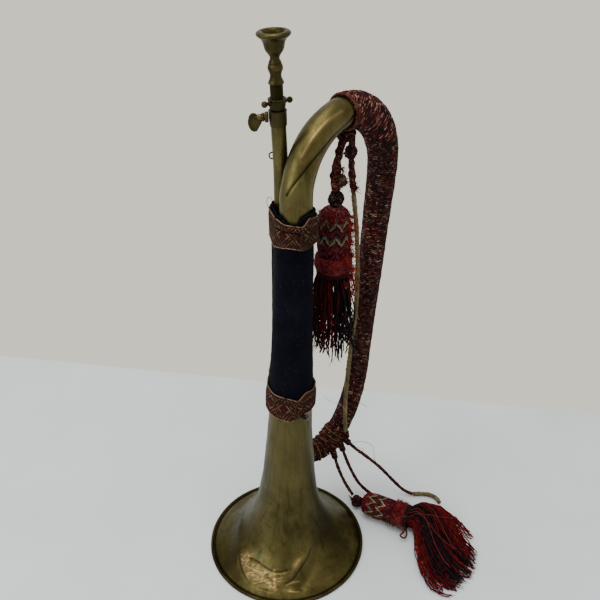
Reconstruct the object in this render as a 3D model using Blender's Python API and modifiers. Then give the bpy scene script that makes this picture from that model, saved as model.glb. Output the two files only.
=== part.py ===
"""A single-loop bugle that stands on its bell, with a bound grip, corded covers and two tassels.

Frame: metres, +Z up.  The bell's rim stands on z = 0.  The tube climbs out of the bell, turns over
the top bow towards +X, comes down the branch, and turns through the bottom bow into the mouthpipe,
which climbs beside the bell on its +Y side to the mouthpiece.  All shapes are written with the
centre of the rim as zero; one empty then moves everything so that the origin is bottom centre.
"""

from math import cos, degrees, pi, radians, sin

import bmesh
import bpy
from mathutils import Matrix, Vector

# ---------------------------------------------------------------- driving dimensions (metres)
GAP = 0.0004                      # free space between neighbouring pieces
FINE_MERGE = 0.00001
ORIGIN_X = 0.03765                # from the rim's centre to the middle of the rigid instrument

BELL_LEAN = 0.0442                # the bell's axis drifts towards +X by this much per metre of height
RIM_RADIUS = 0.0819
RIM_BEAD = 0.0036                 # width and height of the rolled rim
BELL_WALL = 0.0012
# outer radius of the bell at each height, from its edge to the tube
BELL_OUTLINE = ((0.0030, 0.0778), (0.0060, 0.0728), (0.0100, 0.0665), (0.0200, 0.0550), (0.0300, 0.0460),
                (0.0450, 0.0378), (0.0600, 0.0328), (0.0800, 0.0287), (0.1100, 0.0254), (0.1500, 0.0222),
                (0.2000, 0.0194), (0.2500, 0.0173), (0.3000, 0.0157), (0.3660, 0.0142))
BELL_TOP = 0.3660                 # joint between the bell and the top bow

BOW_Z = 0.3860                    # centre of the top bow's half circle
BOW_RADIUS = 0.0630
BOW_BORE = (0.0140, 0.0130, 0.0114)          # outer tube radius at its start, crown and end
BRANCH_LEAN = 0.1110              # the branch leans back in towards the bell
BRANCH_TOP = 0.3750
BRANCH_FOOT = 0.1750
BRANCH_RADIUS = (0.0114, 0.0088)
TUBE_WALL = 0.0010

PIPE_FOOT = Vector((0.0320, 0.0280, 0.1250))
PIPE_SLOPE = Vector((-0.0353, -0.0263, 1.0))
PIPE_KNEE = 0.4100                # above this height the pipe leans a little further
TOP_SLOPE = Vector((-0.0600, -0.0024, 1.0))
PIPE_RADIUS = (0.0066, 0.0062)
PIPE_WALL = 0.0006
PIPE_TOP = 0.4597
BRACE_RADIUS = 0.0024
BOW_HANDLES = (0.1330, 0.0760)    # how far the bottom bow runs straight on at its branch and pipe ends

SLEEVE = (0.4475, 0.4600, 0.0072)            # low, high, outer radius
NUT = (0.4604, 0.4696)
NUT_RADIUS = 0.0075
NUT_BALL_REACH = 0.0121
NUT_BALL_RADIUS = 0.0026
NUT_BALL_Z = 0.4661
NUT_TURN = radians(37.0)
SHANK = (0.4290, 0.4802)
SHANK_RADIUS = 0.0052
SHANK_WALL = 0.0010
SCREW_Z = 0.4545
SCREW_PIN_RADIUS = 0.0022
BOSS_RADIUS = 0.0043
BOSS_LENGTH = 0.0030
# edge of the screw's thumb plate: (out along the shaft, up along the mouthpipe)
THUMB_PLATE = ((0.0125, 0.0020), (0.0165, 0.0022), (0.0202, 0.0035), (0.0236, 0.0004), (0.0241, -0.0056),
               (0.0202, -0.0115), (0.0162, -0.0090), (0.0140, -0.0062), (0.0118, -0.0030))
MOUTHPIECE_TOP = 0.5200
CHAIN_EYE_Z = 0.4222

WRAP = (0.1830, 0.3790)
WRAP_THICK = 0.0008
BELL_CLOTH = 0.0016               # outer face of the cloth beyond the bell tube
# the same beyond the mouthpipe at each height, where the cloth is padded out more towards the bottom
PIPE_CLOTH = ((0.1800, 0.0056), (0.3800, 0.0024))
BAND_SPACE = 0.0026               # outer face of a band beyond the cloth's
BAND_THICK = 0.0014
# edges of the two bands round the tubes: (degrees from +X towards +Y, low, high)
UPPER_BAND = ((40, 0.3530, 0.3770), (130, 0.3490, 0.3740), (160, 0.3515, 0.3760), (195, 0.3550, 0.3750),
              (225, 0.3538, 0.3738), (242, 0.3526, 0.3732), (258, 0.3528, 0.3790), (300, 0.3560, 0.3765),
              (400, 0.3530, 0.3770))
LOWER_BAND = ((40, 0.1860, 0.2080), (130, 0.1840, 0.2075), (165, 0.1838, 0.2070), (195, 0.1812, 0.2062),
              (222, 0.1806, 0.2048), (238, 0.1836, 0.2012), (257, 0.1860, 0.2090), (285, 0.1888, 0.2072),
              (400, 0.1860, 0.2080))

COVER_START = radians(92.0)       # angle on the top bow where the cover begins
COVER_RADII = (0.0160, 0.0162, 0.0138)       # corded cover: at the crown, on the shoulder, at the bow's end
COVER_WALL = 0.0012
LOWER_COVER_WALL = 0.0009
BRANCH_COVER = ((0.0, 0.0138), (0.4, 0.0124), (0.75, 0.0113), (1.0, 0.0110))
BOTTOM_COVER = (0.006, 0.285, 0.0110)        # share of the bottom bow at its start and end, and radius
# outer radius of the cord winding at each share of the bottom bow
WINDING = ((0.300, 0.0128), (0.330, 0.0136), (0.370, 0.0138), (0.435, 0.0129), (0.550, 0.0119), (0.860, 0.0119))
WINDING_WALL = 0.0030

TASSEL_X = 0.0700                 # the hanging tassel's axis
TASSEL_PIVOT = Vector((0.0790, 0.0, 0.4265))
HEAD_RADIUS = 0.0150
BALL_RADIUS = 0.0070
CORD_RADIUS = 0.0018
HANGER_RADIUS = 0.0023
CORE_RADIUS = 0.0024

COLOURS = {
    "brass": ((0.36, 0.30, 0.13), 0.36, 1.0),
    "brass_light": ((0.45, 0.38, 0.19), 0.30, 1.0),
    "brass_dark": ((0.12, 0.10, 0.06), 0.50, 1.0),
    "cloth_navy": ((0.012, 0.014, 0.030), 0.90, 0.0),
    "cord_cover": ((0.17, 0.07, 0.05), 0.90, 0.0),
    "woven_band": ((0.16, 0.05, 0.03), 0.85, 0.0),
    "cord_bare": ((0.30, 0.24, 0.13), 0.90, 0.0),
    "tassel_red": ((0.22, 0.015, 0.015), 0.80, 0.0),
    "tassel_dark": ((0.02, 0.012, 0.02), 0.85, 0.0),
}


# ---------------------------------------------------------------- scene and helpers
def clear_scene():
    for thing in list(bpy.data.objects):
        bpy.data.objects.remove(thing, do_unlink=True)


def new_collection(name):
    made = bpy.data.collections.new(name)
    bpy.context.scene.collection.children.link(made)
    return made


def material(kind, name):
    colour, rough, metal = COLOURS[kind]
    made = bpy.data.materials.new(name)
    made.use_nodes = True
    shader = made.node_tree.nodes["Principled BSDF"]
    shader.inputs["Base Color"].default_value = (*colour, 1.0)
    shader.inputs["Roughness"].default_value = rough
    shader.inputs["Metallic"].default_value = metal
    return made


def place(name, data, kind):
    """Put one named piece, with its own material, into the bugle's collection."""
    piece = bpy.data.objects.new(name, data)
    piece.data.materials.append(material(kind, name + "_finish"))
    PARTS.objects.link(piece)
    piece.parent = BASE
    return piece


def along(table, t):
    """Value at t of a table of (position, value) pairs, joined by straight runs."""
    for (t0, v0), (t1, v1) in zip(table, table[1:]):
        if t <= t1:
            return v0 + (v1 - v0) * (t - t0) / (t1 - t0)
    return table[-1][1]


def smooth_route(knots, step):
    """Points about one step apart on a smooth curve through the knots, with the ends kept."""
    knots = [Vector(k) for k in knots]
    ends = [knots[0] * 2 - knots[1]] + knots + [knots[-1] * 2 - knots[-2]]
    dense = []
    for before, a, b, after in zip(ends, ends[1:], ends[2:], ends[3:]):
        for i in range(24):
            t = i / 24
            dense.append(0.5 * (2 * a + (b - before) * t + (2 * before - 5 * a + 4 * b - after) * t * t
                                + (3 * a - before - 3 * b + after) * t ** 3))
    dense.append(knots[-1])
    return even_points(dense, step)


def even_points(dense, step):
    """Resample a dense line so that neighbouring points are equally far apart along it."""
    run = [0.0]
    for a, b in zip(dense, dense[1:]):
        run.append(run[-1] + (b - a).length)
    count = max(2, round(run[-1] / step))
    picked, k = [], 0
    for i in range(count + 1):
        goal = run[-1] * i / count
        while k < len(run) - 2 and run[k + 1] < goal:
            k += 1
        picked.append(dense[k].lerp(dense[k + 1], (goal - run[k]) / (run[k + 1] - run[k])))
    return picked


def line_object(name, points, radii, kind, sides, caps):
    """A round rod or cord along the points; radii is one number or a function of 0..1 along it."""
    curve = bpy.data.curves.new(name, "CURVE")
    curve.dimensions = "3D"
    curve.bevel_depth = 1.0
    curve.bevel_resolution = (sides - 4) // 2
    curve.use_fill_caps = caps
    spline = curve.splines.new("POLY")
    spline.points.add(len(points) - 1)
    for i, (slot, point) in enumerate(zip(spline.points, points)):
        slot.co = (*point, 1.0)
        slot.radius = radii(i / (len(points) - 1)) if callable(radii) else radii
    return place(name, curve, kind)


def pipe(name, points, radii, wall, kind, sides=16):
    """A hollow tube, open at both ends, whose outer face has the given radii."""
    made = line_object(name, points, radii, kind, sides, caps=False)
    shell = made.modifiers.new("wall", "SOLIDIFY")
    shell.thickness = wall
    shell.offset = -1.0
    return made


def turned(name, profile, kind, steps=20):
    """A turned piece; the profile is (radius, height) pairs running down the outer side."""
    mesh = bpy.data.meshes.new(name)
    closed = profile[0][0] > 0 and profile[-1][0] > 0
    edges = [(i, i + 1) for i in range(len(profile) - 1)]
    if closed:
        edges.append((len(profile) - 1, 0))
    mesh.from_pydata([(r, 0.0, z) for r, z in profile], edges, [])
    made = place(name, mesh, kind)
    screw = made.modifiers.new("turn", "SCREW")
    screw.steps = screw.render_steps = steps
    screw.use_merge_vertices = True
    screw.merge_threshold = FINE_MERGE
    screw.use_smooth_shade = True
    return made


def ring_profile(outer, inner, low, high):
    return [(outer, high), (outer, low), (inner, low), (inner, high)]


def final_mesh(made):
    """The mesh that an object's modifiers leave."""
    return bpy.data.meshes.new_from_object(made.evaluated_get(bpy.context.evaluated_depsgraph_get()))


def shear_to_bell(made):
    """Make a turned piece's mesh final, and slide each level sideways onto the leaning bell axis."""
    mesh = final_mesh(made)
    made.modifiers.clear()
    slide = Matrix.Identity(4)
    slide[0][2] = BELL_LEAN
    mesh.transform(slide)
    made.data = mesh


def aim(made, point, direction):
    """Stand a piece that was made along +Z at a point, along a direction."""
    made.location = point
    made.rotation_euler = Vector(direction).to_track_quat("Z", "Y").to_euler()
    return made


def ball(name, centre, radius, kind, squash=(1.0, 1.0, 1.0), segments=14):
    mesh = bpy.data.meshes.new(name)
    shape = bmesh.new()
    bmesh.ops.create_uvsphere(shape, u_segments=segments, v_segments=segments // 2, radius=radius)
    bmesh.ops.scale(shape, vec=squash, verts=shape.verts)
    shape.to_mesh(mesh)
    shape.free()
    mesh.shade_smooth()
    made = place(name, mesh, kind)
    made.location = centre
    return made


# ---------------------------------------------------------------- lines the pieces follow
def bell_point(z):
    return Vector((BELL_LEAN * z, 0.0, z))


def bell_radius(z):
    return along(BELL_OUTLINE, z)


def bow_point(angle):
    """Top bow centre line: angle runs from pi over the bell to 0 over the branch."""
    start = BELL_LEAN * BOW_Z
    return Vector((start + BOW_RADIUS + BOW_RADIUS * cos(angle), 0.0, BOW_Z + BOW_RADIUS * sin(angle)))


def branch_point(z):
    return Vector((BELL_LEAN * BOW_Z + 2 * BOW_RADIUS - BRANCH_LEAN * (BOW_Z - z), 0.0, z))


def pipe_point(z):
    knee = PIPE_FOOT + PIPE_SLOPE * (min(z, PIPE_KNEE) - PIPE_FOOT.z)
    return knee + TOP_SLOPE * max(0.0, z - PIPE_KNEE)


def pipe_radius(z):
    share = (z - PIPE_FOOT.z) / (PIPE_TOP - PIPE_FOOT.z)
    return PIPE_RADIUS[0] + (PIPE_RADIUS[1] - PIPE_RADIUS[0]) * share


def bottom_bow_point(t):
    """Bottom bow centre line, from the branch's foot (t = 0) to the mouthpipe's foot (t = 1)."""
    a = branch_point(BRANCH_FOOT)
    d = PIPE_FOOT
    b = a + Vector((-BRANCH_LEAN, 0.0, -1.0)).normalized() * BOW_HANDLES[0]
    c = d - PIPE_SLOPE.normalized() * BOW_HANDLES[1]
    s = 1.0 - t
    return s ** 3 * a + 3 * s * s * t * b + 3 * s * t * t * c + t ** 3 * d


def bottom_bow_radius(t):
    return BRANCH_RADIUS[1] + (PIPE_RADIUS[0] - BRANCH_RADIUS[1]) * t


def between(function, low, high, count):
    return [function(low + (high - low) * i / count) for i in range(count + 1)]


# ---------------------------------------------------------------- brass
def make_bell():
    """Thin bell: the outer outline, and the same outline pushed in square to itself by the wall."""
    outer = [Vector((radius, z)) for z, radius in BELL_OUTLINE]
    inner = []
    for i, point in enumerate(outer):
        run = outer[min(i + 1, len(outer) - 1)] - outer[max(i - 1, 0)]
        square = Vector((-run.y, run.x)).normalized()
        inner.append(point + square * BELL_WALL)
    inner[-1] = outer[-1] - Vector((BELL_WALL, 0.0))
    profile = [tuple(point) for point in reversed(outer)] + [tuple(point) for point in inner]
    shear_to_bell(turned("bell", profile, "brass", steps=32))


def make_rim():
    """Rolled rim with a flat foot all round, which is what the bugle stands on."""
    high, wide = RIM_BEAD, RIM_BEAD
    outer = RIM_RADIUS
    shape = [(outer - 0.30 * wide, high), (outer - 0.05 * wide, 0.72 * high), (outer, 0.45 * high),
             (outer - 0.10 * wide, 0.15 * high), (outer - 0.32 * wide, 0.0), (outer - 0.72 * wide, 0.0),
             (outer - 0.95 * wide, 0.22 * high), (outer - wide, 0.55 * high), (outer - 0.72 * wide, 0.92 * high)]
    turned("bell_rim", shape, "brass_light", steps=40)


def make_joint_sleeves():
    """Short sleeves inside the tube, which hold the bell, the bow and the branch together end to end."""
    joints = (("bell_joint_sleeve", bell_point(BELL_TOP), BELL_LEAN, bell_radius(BELL_TOP) - BELL_WALL),
              ("branch_top_sleeve", branch_point(BRANCH_TOP), BRANCH_LEAN, BRANCH_RADIUS[0] - TUBE_WALL),
              ("branch_foot_sleeve", branch_point(BRANCH_FOOT), BRANCH_LEAN, BRANCH_RADIUS[1] - TUBE_WALL))
    wall, half = 0.0008, 0.0050
    for name, centre, lean, bore in joints:
        outer = bore - 1.5 * GAP
        sleeve = turned(name, ring_profile(outer, outer - wall, -half, half), "brass")
        aim(sleeve, centre, (lean, 0.0, 1.0))


def make_top_bow():
    start = BELL_TOP + 3 * GAP
    points = [bell_point(start), bell_point((start + BOW_Z) / 2)] + between(bow_point, pi, 0.0, 18)
    points += [branch_point(BRANCH_TOP + GAP)]
    table = ((0.0, BOW_BORE[0]), (0.5, BOW_BORE[1]), (1.0, BOW_BORE[2]))
    pipe("top_bow", points, lambda t: along(table, t), TUBE_WALL, "brass", sides=18)


def make_branch():
    ends = branch_point(BRANCH_TOP), branch_point(BRANCH_FOOT)
    points = [ends[0].lerp(ends[1], i / 3) for i in range(4)]
    pipe("branch_tube", points, lambda t: BRANCH_RADIUS[0] + (BRANCH_RADIUS[1] - BRANCH_RADIUS[0]) * t,
         TUBE_WALL, "brass")


def make_bottom_bow():
    """The bow stops just short of the branch and the mouthpipe; a ferrule covers its joint with the pipe."""
    wall = 0.0008
    pipe("bottom_bow", between(bottom_bow_point, 0.004, 0.994, 18), bottom_bow_radius, wall, "brass")
    inner = PIPE_RADIUS[0] + 2 * GAP
    below, above = -0.0030, 0.0050
    ferrule = turned("pipe_foot_ferrule", ring_profile(inner + wall, inner, below, above), "brass")
    aim(ferrule, PIPE_FOOT, PIPE_SLOPE)


def make_mouthpipe():
    levels = [PIPE_FOOT.z, 0.20, 0.30, PIPE_KNEE - 0.008, PIPE_KNEE, PIPE_KNEE + 0.008, PIPE_TOP]
    points = [pipe_point(z) for z in levels]
    pipe("mouthpipe", points, lambda t: PIPE_RADIUS[0] + (PIPE_RADIUS[1] - PIPE_RADIUS[0]) * t,
         PIPE_WALL, "brass")


def make_brace(name, z):
    """A short post between the bell tube and the mouthpipe."""
    a, b = bell_point(z), pipe_point(z)
    way = (b - a).normalized()
    start, end = a + way * (bell_radius(z) + GAP), b - way * (pipe_radius(z) + 2 * GAP)
    line_object(name, [start, end], BRACE_RADIUS, "brass", 12, caps=True)


def make_sleeve():
    """Receiver sleeve at the end of the mouthpipe: a slight taper with a lip round its upper edge."""
    low, high, outer = SLEEVE
    lip, lip_height, taper = 0.0002, 0.0007, 0.0002
    inner = PIPE_RADIUS[1] + GAP
    profile = [(outer + lip, high), (outer + lip, high - lip_height), (outer, high - lip_height - lip),
               (outer - taper, low), (inner, low), (inner, high)]
    aim(turned("receiver_sleeve", [(r, z - low) for r, z in profile], "brass"), pipe_point(low), TOP_SLOPE)


def screw_direction():
    """Square to the mouthpipe, away from the bell tube and out over the -X side."""
    side = Vector((-0.643, 0.766, 0.0))
    axis = TOP_SLOPE.normalized()
    return (side - axis * side.dot(axis)).normalized()


def make_thumb_screw():
    way = screw_direction()
    centre = pipe_point(SCREW_Z)
    boss_low = SLEEVE[2] + GAP
    boss_high = boss_low + BOSS_LENGTH
    pin = SCREW_PIN_RADIUS
    boss = turned("screw_boss", ring_profile(BOSS_RADIUS, pin + GAP, boss_low, boss_high), "brass")
    aim(boss, centre, way)
    neck = [(0.0, 0.0200), (0.0016, 0.0200), (0.0020, 0.0165), (0.0026, 0.0140), (0.0036, boss_high + GAP),
            (pin, boss_high + GAP), (pin, boss_low + GAP), (0.0, boss_low + GAP)]
    screw = turned("thumb_screw", neck, "brass_dark", steps=24)
    spade = spade_mesh()
    shaft = final_mesh(screw)
    screw.modifiers.clear()
    screw.data = shaft
    join_solid(screw, spade)
    aim(screw, centre, way)


def spade_mesh():
    """Flat thumb plate of the screw, with a lobe that hangs to one side of the shaft."""
    curve = bpy.data.curves.new("spade_outline", "CURVE")
    curve.dimensions = "2D"
    curve.fill_mode = "BOTH"
    curve.extrude = 0.0011
    curve.bevel_depth = 0.0004
    curve.bevel_resolution = 1
    spline = curve.splines.new("BEZIER")
    spline.bezier_points.add(len(THUMB_PLATE) - 1)
    for knot, (x, y) in zip(spline.bezier_points, THUMB_PLATE):
        knot.co = (x, y, 0.0)
        knot.handle_left_type = knot.handle_right_type = "AUTO"
    spline.use_cyclic_u = True
    spline.resolution_u = 5
    guide = bpy.data.objects.new("spade_outline", curve)
    CUTTERS.objects.link(guide)
    mesh = final_mesh(guide)
    bpy.data.objects.remove(guide)
    shape = bmesh.new()
    shape.from_mesh(mesh)
    bmesh.ops.remove_doubles(shape, verts=shape.verts, dist=FINE_MERGE)
    shape.to_mesh(mesh)
    shape.free()
    # the outline's x runs out along the shaft (+Z) and its y across it
    mesh.transform(Matrix(((0, 0, 1, 0), (0, 1, 0, 0), (-1, 0, 0, 0), (0, 0, 0, 1))).inverted())
    return mesh


def join_solid(base, mesh):
    """Union a second mesh into a piece, so that it is one body."""
    tool = bpy.data.objects.new(base.name + "_tool", mesh)
    tool.hide_render = True
    tool.display_type = "WIRE"
    CUTTERS.objects.link(tool)
    union = base.modifiers.new("join", "BOOLEAN")
    union.operation = "UNION"
    union.object = tool
    tool.parent = base


def make_clamp_nut():
    """Clamp nut: a rim at the top, a groove under it, and a body that tapers to the sleeve."""
    low, high = NUT
    inner = SHANK_RADIUS + GAP
    profile = [(NUT_RADIUS - 0.0003, high), (NUT_RADIUS, high - 0.0005), (NUT_RADIUS, high - 0.0016),
               (0.0068, high - 0.0022), (0.0068, high - 0.0026), (0.0071, high - 0.0032), (0.0070, high - 0.0041),
               (0.0062, low), (inner, low), (inner, high)]
    nut = turned("clamp_nut", [(r, z - low) for r, z in profile], "brass")
    aim(nut, pipe_point(low), TOP_SLOPE)


def make_nut_arms():
    """Two ball-ended arms that stand out of the clamp nut on opposite sides."""
    side = Vector((0.643, -0.766, 0.0)) * cos(NUT_TURN) + Vector((0.766, 0.643, 0.0)) * sin(NUT_TURN)
    centre = pipe_point(NUT_BALL_Z)
    start = NUT_RADIUS + GAP
    reach, ball_r, stem = NUT_BALL_REACH, NUT_BALL_RADIUS, 0.0014
    rise = [radians(angle) for angle in (60, 30, 0, -30, -56)]
    profile = [(0.0, reach + ball_r)]
    profile += [(ball_r * cos(a), reach + ball_r * sin(a)) for a in rise]
    profile += [(stem, start + 0.0010), (stem + 0.0006, start), (0.0, start)]
    for name, sign in (("nut_arm_far", 1.0), ("nut_arm_near", -1.0)):
        aim(turned(name, profile, "brass", steps=16), centre, side * sign)


def make_shank():
    low, high = SHANK
    radius, bore = SHANK_RADIUS, SHANK_RADIUS - SHANK_WALL
    made = turned("tuning_shank", ring_profile(radius, bore, 0.0, high - low), "brass_dark")
    aim(made, pipe_point(low), TOP_SLOPE)


def make_mouthpiece():
    """Cup mouthpiece: rim, bowl, two turned beads and a plain end that plugs into the tuning shank."""
    foot = SHANK[1] + GAP
    top = MOUTHPIECE_TOP
    plug = SHANK_RADIUS - SHANK_WALL - GAP
    plug_end = foot - 0.0160
    # radius and depth below the top: rim, bowl, neck, upper bead, waist and lower bead
    outer = [(0.0105, 0.0), (0.0122, 0.0005), (0.0131, 0.0011), (0.0134, 0.0017), (0.0131, 0.0030),
             (0.0117, 0.0052), (0.0088, 0.0078), (0.0076, 0.0127), (0.0061, 0.0156), (0.0041, 0.0185),
             (0.0038, 0.0202), (0.0045, 0.0220), (0.0051, 0.0237), (0.0061, 0.0271), (0.0051, 0.0303),
             (0.0045, 0.0328), (0.0052, 0.0359), (0.0063, 0.0386)]
    outer = [(r, top - depth) for r, depth in outer]
    outer += [(0.0060, foot), (plug, foot), (plug - 0.0003, plug_end)]
    # bore, throat and cup, upwards
    inner = [(0.0019, 0.0200), (0.0024, 0.0165), (0.0046, 0.0132), (0.0062, 0.0100), (0.0070, 0.0050),
             (0.0078, 0.0022), (0.0090, 0.0006)]
    inner = [(plug - 0.0009, plug_end)] + [(r, top - depth) for r, depth in inner]
    made = turned("mouthpiece", [(r, z - foot) for r, z in outer + inner], "brass_light")
    aim(made, pipe_point(foot), TOP_SLOPE)


def make_chain_eye():
    """Small wire loop that stands off the mouthpipe for a chain; it stops just short of the pipe."""
    ring, wire, sweep = 0.0028, 0.0006, radians(78.0)
    centre = pipe_point(CHAIN_EYE_Z) + screw_direction() * PIPE_RADIUS[1]
    out, up = screw_direction() * ring, TOP_SLOPE.normalized() * ring
    points = between(lambda a: centre + out * cos(a) + up * sin(a), -sweep, sweep, 8)
    line_object("chain_eye", points, wire, "brass_dark", 8, caps=True)


# ---------------------------------------------------------------- cloth and covers
def around_both(z, angle, space):
    """Point of the taut outline round the bell tube and the mouthpipe, so far beyond the cloth's outer face."""
    way = Vector((cos(angle), sin(angle), 0.0))
    on_bell = bell_point(z) + way * (bell_radius(z) + BELL_CLOTH + space)
    on_pipe = pipe_point(z) + way * (pipe_radius(z) + along(PIPE_CLOTH, z) + space)
    return max((on_bell, on_pipe), key=lambda p: p.dot(way))


def sleeve_round_both(name, edges, rows, space, wall, kind, around=28):
    """Cloth sleeve round both tubes: a loft of taut outlines between edges that depend on the angle."""
    mesh = bpy.data.meshes.new(name)
    shape = bmesh.new()
    loops = []
    for step in range(rows):
        loop = []
        for i in range(around):
            angle = 2 * pi * i / around
            low, high = edges(angle)
            z = low + (high - low) * step / (rows - 1)
            loop.append(shape.verts.new(around_both(z, angle, space)))
        loops.append(loop)
    for low, high in zip(loops, loops[1:]):
        for i in range(around):
            j = (i + 1) % around
            shape.faces.new((low[i], low[j], high[j], high[i]))
    bmesh.ops.remove_doubles(shape, verts=shape.verts, dist=FINE_MERGE)
    shape.to_mesh(mesh)
    shape.free()
    mesh.shade_smooth()
    made = place(name, mesh, kind)
    shell = made.modifiers.new("cloth", "SOLIDIFY")
    shell.thickness = wall
    shell.offset = -1.0
    return made


def band_edges(table, angle):
    """Low and high edge of a band at one angle round the tubes."""
    first = table[0][0]
    turn = first + (degrees(angle) - first) % 360
    return [along([(row[0], row[k]) for row in table], turn) for k in (1, 2)]


def make_grip():
    sleeve_round_both("grip_wrap", lambda angle: WRAP, 13, 0.0, WRAP_THICK, "cloth_navy")
    for name, table in (("upper_band", UPPER_BAND), ("lower_band", LOWER_BAND)):
        sleeve_round_both(name, lambda angle: band_edges(table, angle), 4, BAND_SPACE, BAND_THICK, "woven_band")


def make_covers():
    """Corded cover over the top bow's far half, the branch and the bottom bow."""
    points = between(bow_point, COVER_START, 0.0, 10) + [branch_point(BRANCH_TOP + GAP)]
    table = ((0.0, COVER_RADII[0]), (0.35, COVER_RADII[1]), (1.0, COVER_RADII[2]))
    pipe("bow_cover", points, lambda t: along(table, t), COVER_WALL, "cord_cover", sides=18)
    ends = branch_point(BRANCH_TOP), branch_point(BRANCH_FOOT + GAP)
    points = [ends[0].lerp(ends[1], i / 6) for i in range(7)]
    pipe("branch_cover", points, lambda t: along(BRANCH_COVER, t), LOWER_COVER_WALL, "cord_cover")
    low, high, radius = BOTTOM_COVER
    pipe("bottom_bow_cover", between(bottom_bow_point, low, high, 8), radius, LOWER_COVER_WALL, "cord_cover")
    low, high = WINDING[0][0], WINDING[-1][0]
    pipe("bottom_bow_winding", between(bottom_bow_point, low, high, 14),
         lambda t: along(WINDING, low + (high - low) * t), WINDING_WALL, "cord_cover")


# ---------------------------------------------------------------- tassels and cords
def make_hitch():
    """Lump of hitched cord under the crown of the bow, which the tassel and the core cord hang from."""
    ball("cord_hitch", TASSEL_PIVOT + Vector((0.0040, 0.0, 0.0026)), 0.0052, "cord_cover", (2.0, 0.9, 0.62))


def tassel_head_profile(radius, length):
    """Barrel head of a tassel along +Z, its knot end at the top."""
    return [(0.0, length), (0.42 * radius, length), (0.80 * radius, 0.93 * length), (0.95 * radius, 0.78 * length),
            (1.0 * radius, 0.40 * length), (0.98 * radius, 0.0), (0.0, 0.0)]


def make_hanging_tassel():
    top = TASSEL_PIVOT - Vector((0.0, 0.0, 0.0016))
    ball_z = 0.3735
    centre = Vector((TASSEL_X, 0.0, 0.0))
    left = ((top.x - 0.0030, -0.0010, top.z), (0.0712, -0.0012, 0.4150), (0.0660, -0.0010, 0.4020),
            (0.0668, -0.0004, 0.3900), (0.0692, 0.0, ball_z + BALL_RADIUS + GAP))
    right = ((top.x + 0.0024, 0.0010, top.z), (0.0784, 0.0014, 0.4150), (0.0752, 0.0014, 0.4020),
             (0.0748, 0.0010, 0.3920), (0.0742, 0.0002, ball_z + BALL_RADIUS + GAP - 0.0002))
    step = 5.0 * HANGER_RADIUS
    line_object("hanger_left", smooth_route(left, step), HANGER_RADIUS, "cord_cover", 10, caps=True)
    line_object("hanger_right", smooth_route(right, step), HANGER_RADIUS, "cord_cover", 10, caps=True)
    ball("hanger_fray_knot", Vector((0.0808, 0.0016, 0.3895)), 0.0036, "cord_cover", (1.0, 1.0, 1.25), 12)
    ball("hanging_knot", centre + Vector((0.0015, 0.0, ball_z)), BALL_RADIUS, "cord_cover")
    head_low, head_high = 0.3200, 0.3662
    head = turned("hanging_head", tassel_head_profile(HEAD_RADIUS, head_high - head_low), "tassel_red", 24)
    head.location = centre + Vector((0.0, 0.0, head_low))
    band_low = 0.3035
    band = [(0.0142, 0.0160), (0.0166, 0.0140), (0.0170, 0.0080), (0.0164, 0.0020), (0.0140, 0.0)]
    band = [(0.0, 0.0160)] + band + [(0.0, 0.0)]
    made = turned("hanging_band", band, "tassel_red", 24)
    made.location = centre + Vector((0.0, 0.0, band_low))
    fringe_low, fringe_high = 0.2130, band_low - GAP
    long = fringe_high - fringe_low
    fringe = [(0.0, long), (0.0130, long), (0.0150, 0.93 * long), (0.0164, 0.60 * long), (0.0168, 0.15 * long),
              (0.0160, 0.0), (0.0, 0.0)]
    made = turned("hanging_fringe", fringe, "tassel_dark", 20)
    made.location = centre + Vector((0.0, 0.0, fringe_low))


CORE_ROUTE = ((0.0925, 0.0000, 0.4038), (0.0938, 0.0000, 0.3930), (0.0966, 0.0000, 0.3760),
              (0.1050, 0.0000, 0.3320), (0.1096, 0.0000, 0.2880), (0.1094, -0.0002, 0.2400),
              (0.1030, -0.0006, 0.1960), (0.0950, -0.0030, 0.1500), (0.0905, -0.0062, 0.1120),
              (0.0901, -0.0086, 0.0925))
CORD_A_ROUTE = ((0.0790, -0.0012, 0.0680), (0.0815, -0.0062, 0.0480), (0.0850, -0.0120, 0.0300),
                (0.0868, -0.0180, 0.0195), (0.0874, -0.0236, 0.0132))
CORD_B_ROUTE = ((0.0862, -0.0061, 0.0768), (0.0905, -0.0110, 0.0560), (0.0950, -0.0160, 0.0380),
                (0.1005, -0.0225, 0.0205), (0.1068, -0.0310, 0.0080), (0.1100, -0.0400, 0.0026),
                (0.1080, -0.0490, 0.0022), (0.1018, -0.0560, 0.0022))
CORD_C_ROUTE = ((0.0937, -0.0068, 0.0808), (0.1010, -0.0160, 0.0680), (0.1075, -0.0228, 0.0590),
                (0.1185, -0.0370, 0.0415), (0.1285, -0.0520, 0.0205), (0.1350, -0.0615, 0.0085),
                (0.1410, -0.0700, 0.0028))
TAIL_ROUTE = ((0.1418, -0.0710, 0.0027), (0.1470, -0.0765, 0.0027), (0.1525, -0.0850, 0.0027),
              (0.1535, -0.0940, 0.0027), (0.1500, -0.1010, 0.0027))


def make_cords():
    ball("core_knot", Vector((0.0914, 0.0, 0.4109)), 0.0056, "cord_cover", (0.95, 0.95, 1.15), 16)
    line_object("core_cord", smooth_route(CORE_ROUTE, 6 * CORE_RADIUS), CORE_RADIUS, "cord_bare", 8, caps=True)
    for name, route in (("lower_cord_a", CORD_A_ROUTE), ("lower_cord_b", CORD_B_ROUTE),
                        ("lower_cord_c", CORD_C_ROUTE)):
        line_object(name, smooth_route(route, 4 * CORD_RADIUS), CORD_RADIUS, "cord_cover", 8, caps=True)
    line_object("cord_tail", smooth_route(TAIL_ROUTE, 4 * CORE_RADIUS), CORE_RADIUS, "cord_bare", 8, caps=True)


LYING_AXIS_START = Vector((0.0857, -0.0385, 0.0142))
LYING_DIRECTION = Vector((0.249, -0.9685, 0.0))
LYING_HEAD = 0.0370
LYING_BAND = 0.0150


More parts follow.
